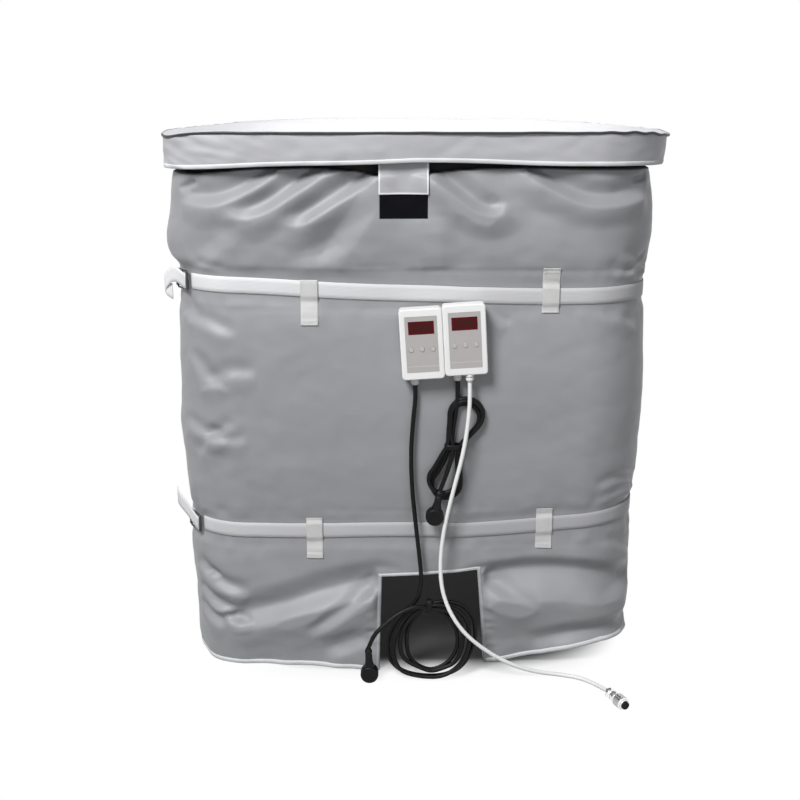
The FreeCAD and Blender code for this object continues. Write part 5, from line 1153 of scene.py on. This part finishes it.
# each turn's share of the way out, its depth in the coil, where it passes the tie, and the phase of its sway
coil_points = []
for share, layer, tie_z, tie_y, phase in ((1.0, 4.6, 66, 4.5, 0.2), (0.06, 4.4, 57, 4.4, 1.9),
                                          (0.70, -4.4, 64, -4.4, 3.3), (0.36, -4.6, 55, -4.6, 5.0)):
    for number, (outside, inside) in enumerate(zip(OUTER_TURN, INNER_TURN)):
        here = share if number not in (5, 6, 7) else round(share)
        sway = 2.0 * math.sin(1.3 * number + phase) * math.sin(math.pi * number / 12)
        x, z = (inner + (here + sway / 40) * (outer - inner) for inner, outer in zip(inside, outside))
        coil_points.append(in_coil(x, layer + 0.4 * sway, z))
    coil_points.append(in_coil(-4, tie_y, tie_z))
left_points = [
    (0.0059, -0.6466, 0.5861), (0.007, -0.647, 0.565), (0.003, -0.647, 0.525), (-0.002, -0.647, 0.458),
    (0.0, -0.647, 0.385), (0.008, -0.647, 0.306), (0.016, -0.649, 0.236), (0.020, -0.657, 0.192),
    (0.014, -0.664, 0.164), *coil_points, (0.016, -0.679, 0.150), (-0.003, -0.682, 0.147),
    (-0.031, -0.688, 0.135), (-0.056, -0.697, 0.116), (-0.075, -0.703, 0.098), (-0.0839, -0.705, 0.073),
]
MAINS = 0.0085
left_cord = cord_line("left_mains_cord", left_points, MAINS, rubber)

# the hank: the way round it, anticlockwise, from its waist down to the lower loop and up to the upper loop
LOWER = ((-22, -24), (-37, -52.5), (-47.6, -67), (-47.6, -85), (-37, -99.5), (-20, -105), (-3, -99.5),
         (7.6, -85), (7.6, -67), (6, -44), (7, -22))
UPPER = ((24, 19), (40.4, 36.3), (52.4, 52.8), (52.4, 73.2), (40.4, 89.7), (21, 96), (1.6, 89.7),
         (-10.4, 73.2), (-10.4, 52.8), (-12, 26))
WAIST = (0.080, 0.465)


def in_hank(places, rise, shift, shrink, y):
    """Places in the hank from millimetres off its waist: drawn in, moved, and at a depth of their own."""
    return [(WAIST[0] + (x * shrink + shift) / 1000, y,
             WAIST[1] + (z * (1 if z < 0 else shrink) + rise) / 1000) for x, z in places]


# each turn of the hank: its places at the tie, how its loops are moved and drawn in, and its depth
right_points = [(0.0849, -0.6466, 0.5941), (0.0854, -0.6466, 0.583), (0.085, -0.6471, 0.571),
                (0.0850, -0.6474, 0.555), (0.0810, -0.6430, 0.520), (0.0765, -0.6425, 0.490)]
for down, rise_low, shift_low, up, shift_high, shrink, back in (
        (-3.5, 4, 3, 8, 1, 1.0, -0.6420), (-12, 12, 0, 13.5, 1, 0.88, -0.6502),
        (-8, -1, 6, 10.5, 3, 0.95, -0.6422)):
    right_points.append((WAIST[0] + down / 1000, back, WAIST[1] + 0.003))
    right_points += in_hank(LOWER, rise_low, shift_low, 1.0, back)
    right_points.append((WAIST[0] + up / 1000, back, WAIST[1]))
    right_points += in_hank(UPPER, 0, shift_high, shrink, -1.2922 - back if back < -0.646 else back - 0.004)
right_points += [(0.0790, -0.6502, 0.465), (0.0740, -0.6535, 0.438), (0.0640, -0.6572, 0.409),
                 (0.0542, -0.6585, 0.3815)]
right_cord = cord_line("right_mains_cord", right_points, MAINS, rubber)

sensor_points = [
    (0.1069, -0.6586, 0.5955), (0.1075, -0.6591, 0.573), (0.1065, -0.6605, 0.531), (0.098, -0.662, 0.461),
    (0.079, -0.662, 0.383), (0.062, -0.662, 0.306), (0.055, -0.664, 0.238), (0.058, -0.673, 0.183),
    (0.074, -0.685, 0.139), (0.102, -0.694, 0.099), (0.141, -0.695, 0.065), (0.190, -0.693, 0.033),
    (0.241, -0.688, 0.013), (0.292, -0.684, 0.0044), (0.331, -0.696, 0.0044), (0.360, -0.731, 0.008),
    (0.373, -0.759, 0.0125),
]
sensor_cord = cord_line("sensor_cord_line", sensor_points, 0.008, pale_sheath)


# Right-angle mains plugs: moulded heads with a grip rim and brass pins, and a ribbed strain relief.

brass = Finish("brass", metallic=1.0, roughness=0.25)
brass.mottle(300, 2, (0.62, 0.60, 0.55), (0.74, 0.72, 0.68))
HEAD = ((0, 0), (0, 0.0152), (0.0012, 0.0168), (0.0040, 0.0175), (0.0060, 0.0171), (0.0085, 0.0171),
        (0.0105, 0.0175), (0.0170, 0.0175), (0.0200, 0.0168), (0.0215, 0.0152), (0.0220, 0.0125),
        (0.0216, 0.0110), (0.0216, 0.0))
RELIEF = ((-0.006, 0.0), (-0.006, 0.0100), (0.001, 0.0094), (0.006, 0.0078), (0.012, 0.0070),
          (0.024, 0.0067), (0.0246, 0.0060), (0.0264, 0.0060), (0.0270, 0.0072), (0.0320, 0.0070),
          (0.0326, 0.0060), (0.0346, 0.0059), (0.0352, 0.0056), (0.0360, 0.0054), (0.0360, 0.0))
PIN = ((-0.002, 0.0), (-0.002, 0.0019), (0.006, 0.0019), (0.0064, 0.0024), (0.0165, 0.0024), (0.0178, 0.0017),
       (0.0180, 0.0))
for name, spot, tilt in (("left_plug", (-0.082, -0.694, 0.0195), -2),
                         ("right_plug", (0.044, -0.6475, 0.329), 11)):
    spot = Vector(spot)
    turn = Matrix.Rotation(math.radians(tilt), 3, "Y")
    up = turn @ Vector((0, 0, 1))
    across = turn @ Vector((1, 0, 0))
    head = turned(name + "_head", HEAD, spot, (0, -1, 0), 56)
    relief_piece = turned(name + "_relief", RELIEF, spot + Vector((0, -0.011, 0)) + up * 0.0175, up, 32)
    pins = [turned(f"{name}_pin_{end}", PIN, spot + across * end * 0.0095, (0, 1, 0), 20) for end in (1, -1)]
    hand_over(head, "jacket", "black_plastic", rubber, name)
    hand_over(relief_piece, "jacket", "black_plastic", rubber)
    for pin in pins:
        hand_over(pin, "jacket", "connector_metal", brass)


# Round connector: a plated barrel with a knurled coupling ring and a black insert.

plated = Finish("plated", metallic=1.0, roughness=0.22)
plated.mottle(200, 2, (0.82, 0.82, 0.82), (0.92, 0.92, 0.91))
REAR = Vector(sensor_points[-1])
WAY = Vector((0.024, -0.052, 0)).normalized()
BARREL = (
    (0, 0), (0, 0.0058), (0.0006, 0.0064), (0.0035, 0.0070), (0.0042, 0.0090), (0.0050, 0.0096),
    (0.0138, 0.0096), (0.0145, 0.0090), (0.0150, 0.0084), (0.0180, 0.0084), (0.0190, 0.0098),
    (0.0288, 0.0100), (0.0298, 0.0094), (0.030, 0.0090), (0.0534, 0.0090), (0.054, 0.0085),
    (0.054, 0.0078), (0.036, 0.0077),
)
SLEEVE = [(0.0305, 0.0091), (0.0305, 0.0108), (0.0312, 0.0118), (0.0320, 0.0124)]
for number in range(22):
    start = 0.0325 + 0.00076 * number
    SLEEVE += [(start, 0.0125), (start + 0.0004, 0.0120)]
SLEEVE += [(0.0500, 0.0125), (0.0510, 0.0118), (0.0515, 0.0108), (0.0515, 0.0091), (0.0305, 0.0091)]
FACE = ((0.034, 0), (0.034, 0.0076), (0.0576, 0.0076), (0.058, 0.0072), (0.058, 0.0058), (0.0566, 0.0056),
        (0.0566, 0.0))
shell = turned("connector_barrel", BARREL, REAR, WAY, 48)
ring = turned("coupling_sleeve", SLEEVE, REAR, WAY, 60)
insert = turned("connector_face", FACE, REAR, WAY, 40)
hand_over(shell, "jacket", "connector_metal", plated, "connector_shell")
hand_over(ring, "coupling_ring", "connector_metal", plated, "connector_ring")
hand_over(insert, "jacket", "black_plastic", rubber, "connector_insert")


# Cord ties: a short band of black tape round the coil's head, and one round the hank's waist.

def band(name, low, high, wide, place):
    """A band round a bundle: its section's corners rounded, as wide as given along its axis."""
    loop = []
    half = ((high[0] - low[0]) / 2, (high[1] - low[1]) / 2)
    middle = ((high[0] + low[0]) / 2, (high[1] + low[1]) / 2)
    squareness = 3.2
    for number in range(41):
        angle = number / 40 * 2 * math.pi
        c, s = math.cos(angle), math.sin(angle)
        reach = (abs(c) ** squareness + abs(s) ** squareness) ** (-1 / squareness)
        loop.append((middle[0] + half[0] * reach * c, middle[1] + half[1] * reach * s))
    section = ((-0.5, 0), (-0.5, 0.0009), (-0.25, 0.0012), (0, 0.0010), (0.25, 0.0012), (0.5, 0.0009),
               (0.5, 0))
    made, column, row = cloth(name, len(loop), len(section))
    centre = np.array(middle)
    flat = np.array(loop)[column]
    outward = (flat - centre) / np.hypot(*(flat - centre).T)[:, None]
    sideways, lift = at_rows(section, row)
    sideways = sideways * wide
    flat = flat + outward * lift[:, None]
    points = np.array([place(a, b, c) for (a, b), c in zip(flat, sideways)])
    shape(made, points, sideways, column * 0.002)
    edit(made, ALL, MERGE, OUTWARD)
    return made


coil_band = band("coil_tie_band", (-0.0092, 0.048), (0.0092, 0.073), 0.010,
                 lambda y, z, x: in_coil(1000 * x - 4, 1000 * y, 1000 * z))
hank_band = band("hank_tie_band", (0.0625, -0.6548), (0.0980, -0.6374), 0.010,
                 lambda x, y, z: (x, y, WAIST[1] + z))
for tie in (coil_band, hank_band):
    hand_over(tie, "jacket", "black_plastic", rubber, "cord_ties")

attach(left_cord, "jacket")
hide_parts("left_cord", "left_coil", "left_cord_tail")
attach(right_cord, "jacket")
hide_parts("right_cord", "right_hank")
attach(sensor_cord, "jacket")
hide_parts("sensor_cord")


# The photograph's surroundings: a plain pale floor under soft lights, and the camera. The sky lights the
# piece dimly, and shows as white to the rays that come from the camera.


def seen_rays(finish):
    """1 for the camera's rays and for rays that a surface mirrors or lets through, and else 0."""
    camera_ray, mirrored_ray, passed_ray = (finish.node("ShaderNodeLightPath", output=f"Is {kind} Ray")
                                            for kind in ("Camera", "Glossy", "Transmission"))
    rays = camera_ray + mirrored_ray + passed_ray
    return finish.node("ShaderNodeMath", {"operation": "MINIMUM"}, {0: rays, 1: 1.0})


def show_white(finish, kind, share, output):
    """Mixes plain white light into a finish, by a share from 0 to 1."""
    white = finish.node(kind, inputs={0: (1, 1, 1), 1: 1.0})
    own = Value(finish, finish.surface.outputs[0])
    mixed = finish.node("ShaderNodeMixShader", inputs={0: share, 1: own, 2: white})
    finish.feed(finish.tree.nodes[output].inputs[0], mixed)


# the floor: painted dark below the piece as painted shade under it, pale round it, and further out plain
# white where it is seen
floor_paint = Finish("floor_paint", roughness=0.9, specular_ior_level=0.1)
seen = seen_rays(floor_paint)
far = (2.2 * floor_paint.at(0)) ** 4 + (1.5 * floor_paint.at(1)) ** 4
white_share = floor_paint.node("ShaderNodeMapRange", {"interpolation_type": "SMOOTHSTEP"},
                               {0: far, 1: 0.66, 2: 1.3, 3: 0.0, 4: 1.0}) * seen
outside = floor_paint.ramp(far, 0.72, 1.0)
floor_paint.paint(base_color=floor_paint.blend(
    outside * (0.25 + 0.75 * seen), (0.06, 0.06, 0.06), (0.9, 0.9, 0.9)))
show_white(floor_paint, "ShaderNodeEmission", white_share, "Material Output")
bpy.ops.mesh.primitive_plane_add(size=14)
floor = bpy.context.object
floor.name = "studio_floor"
floor.data.transform(Matrix.Translation((0, 0, -0.0005)))
floor.data.materials.append(floor_paint.material)

studio = Finish("studio", bpy.data.worlds, "Background", color=(0.92, 0.95, 1.0), strength=0.16)
show_white(studio, "ShaderNodeBackground", seen_rays(studio), "World Output")
bpy.context.scene.world = studio.material

for name, spot, size, energy in (
        ("key", (-1.3, -2.8, 3.3), 1.2, 156), ("fill", (1.2, -3.4, 1.4), 2.0, 11),
        ("inside", (0.04, -0.1, 0.9), 0.3, 2.6), ("behind", (0.2, 2.6, 2.6), 2.0, 42)):
    bpy.ops.object.light_add(type="AREA", location=spot)
    lamp = bpy.context.object
    lamp.name = name
    lamp.data.size = size
    lamp.data.energy = energy
    toward = Vector((0, 0, 0.5)) - Vector(spot)
    lamp.rotation_euler = toward.to_track_quat("-Z", "Y").to_euler()

bpy.ops.object.camera_add(location=(-0.0225, -2.556, 1.088), rotation=(math.radians(74.45), 0, 0))
camera = bpy.context.object
camera.data.lens = 47.7
camera.data.sensor_width = 36
bpy.context.scene.camera = camera
bpy.context.scene.view_settings.view_transform = "Standard"
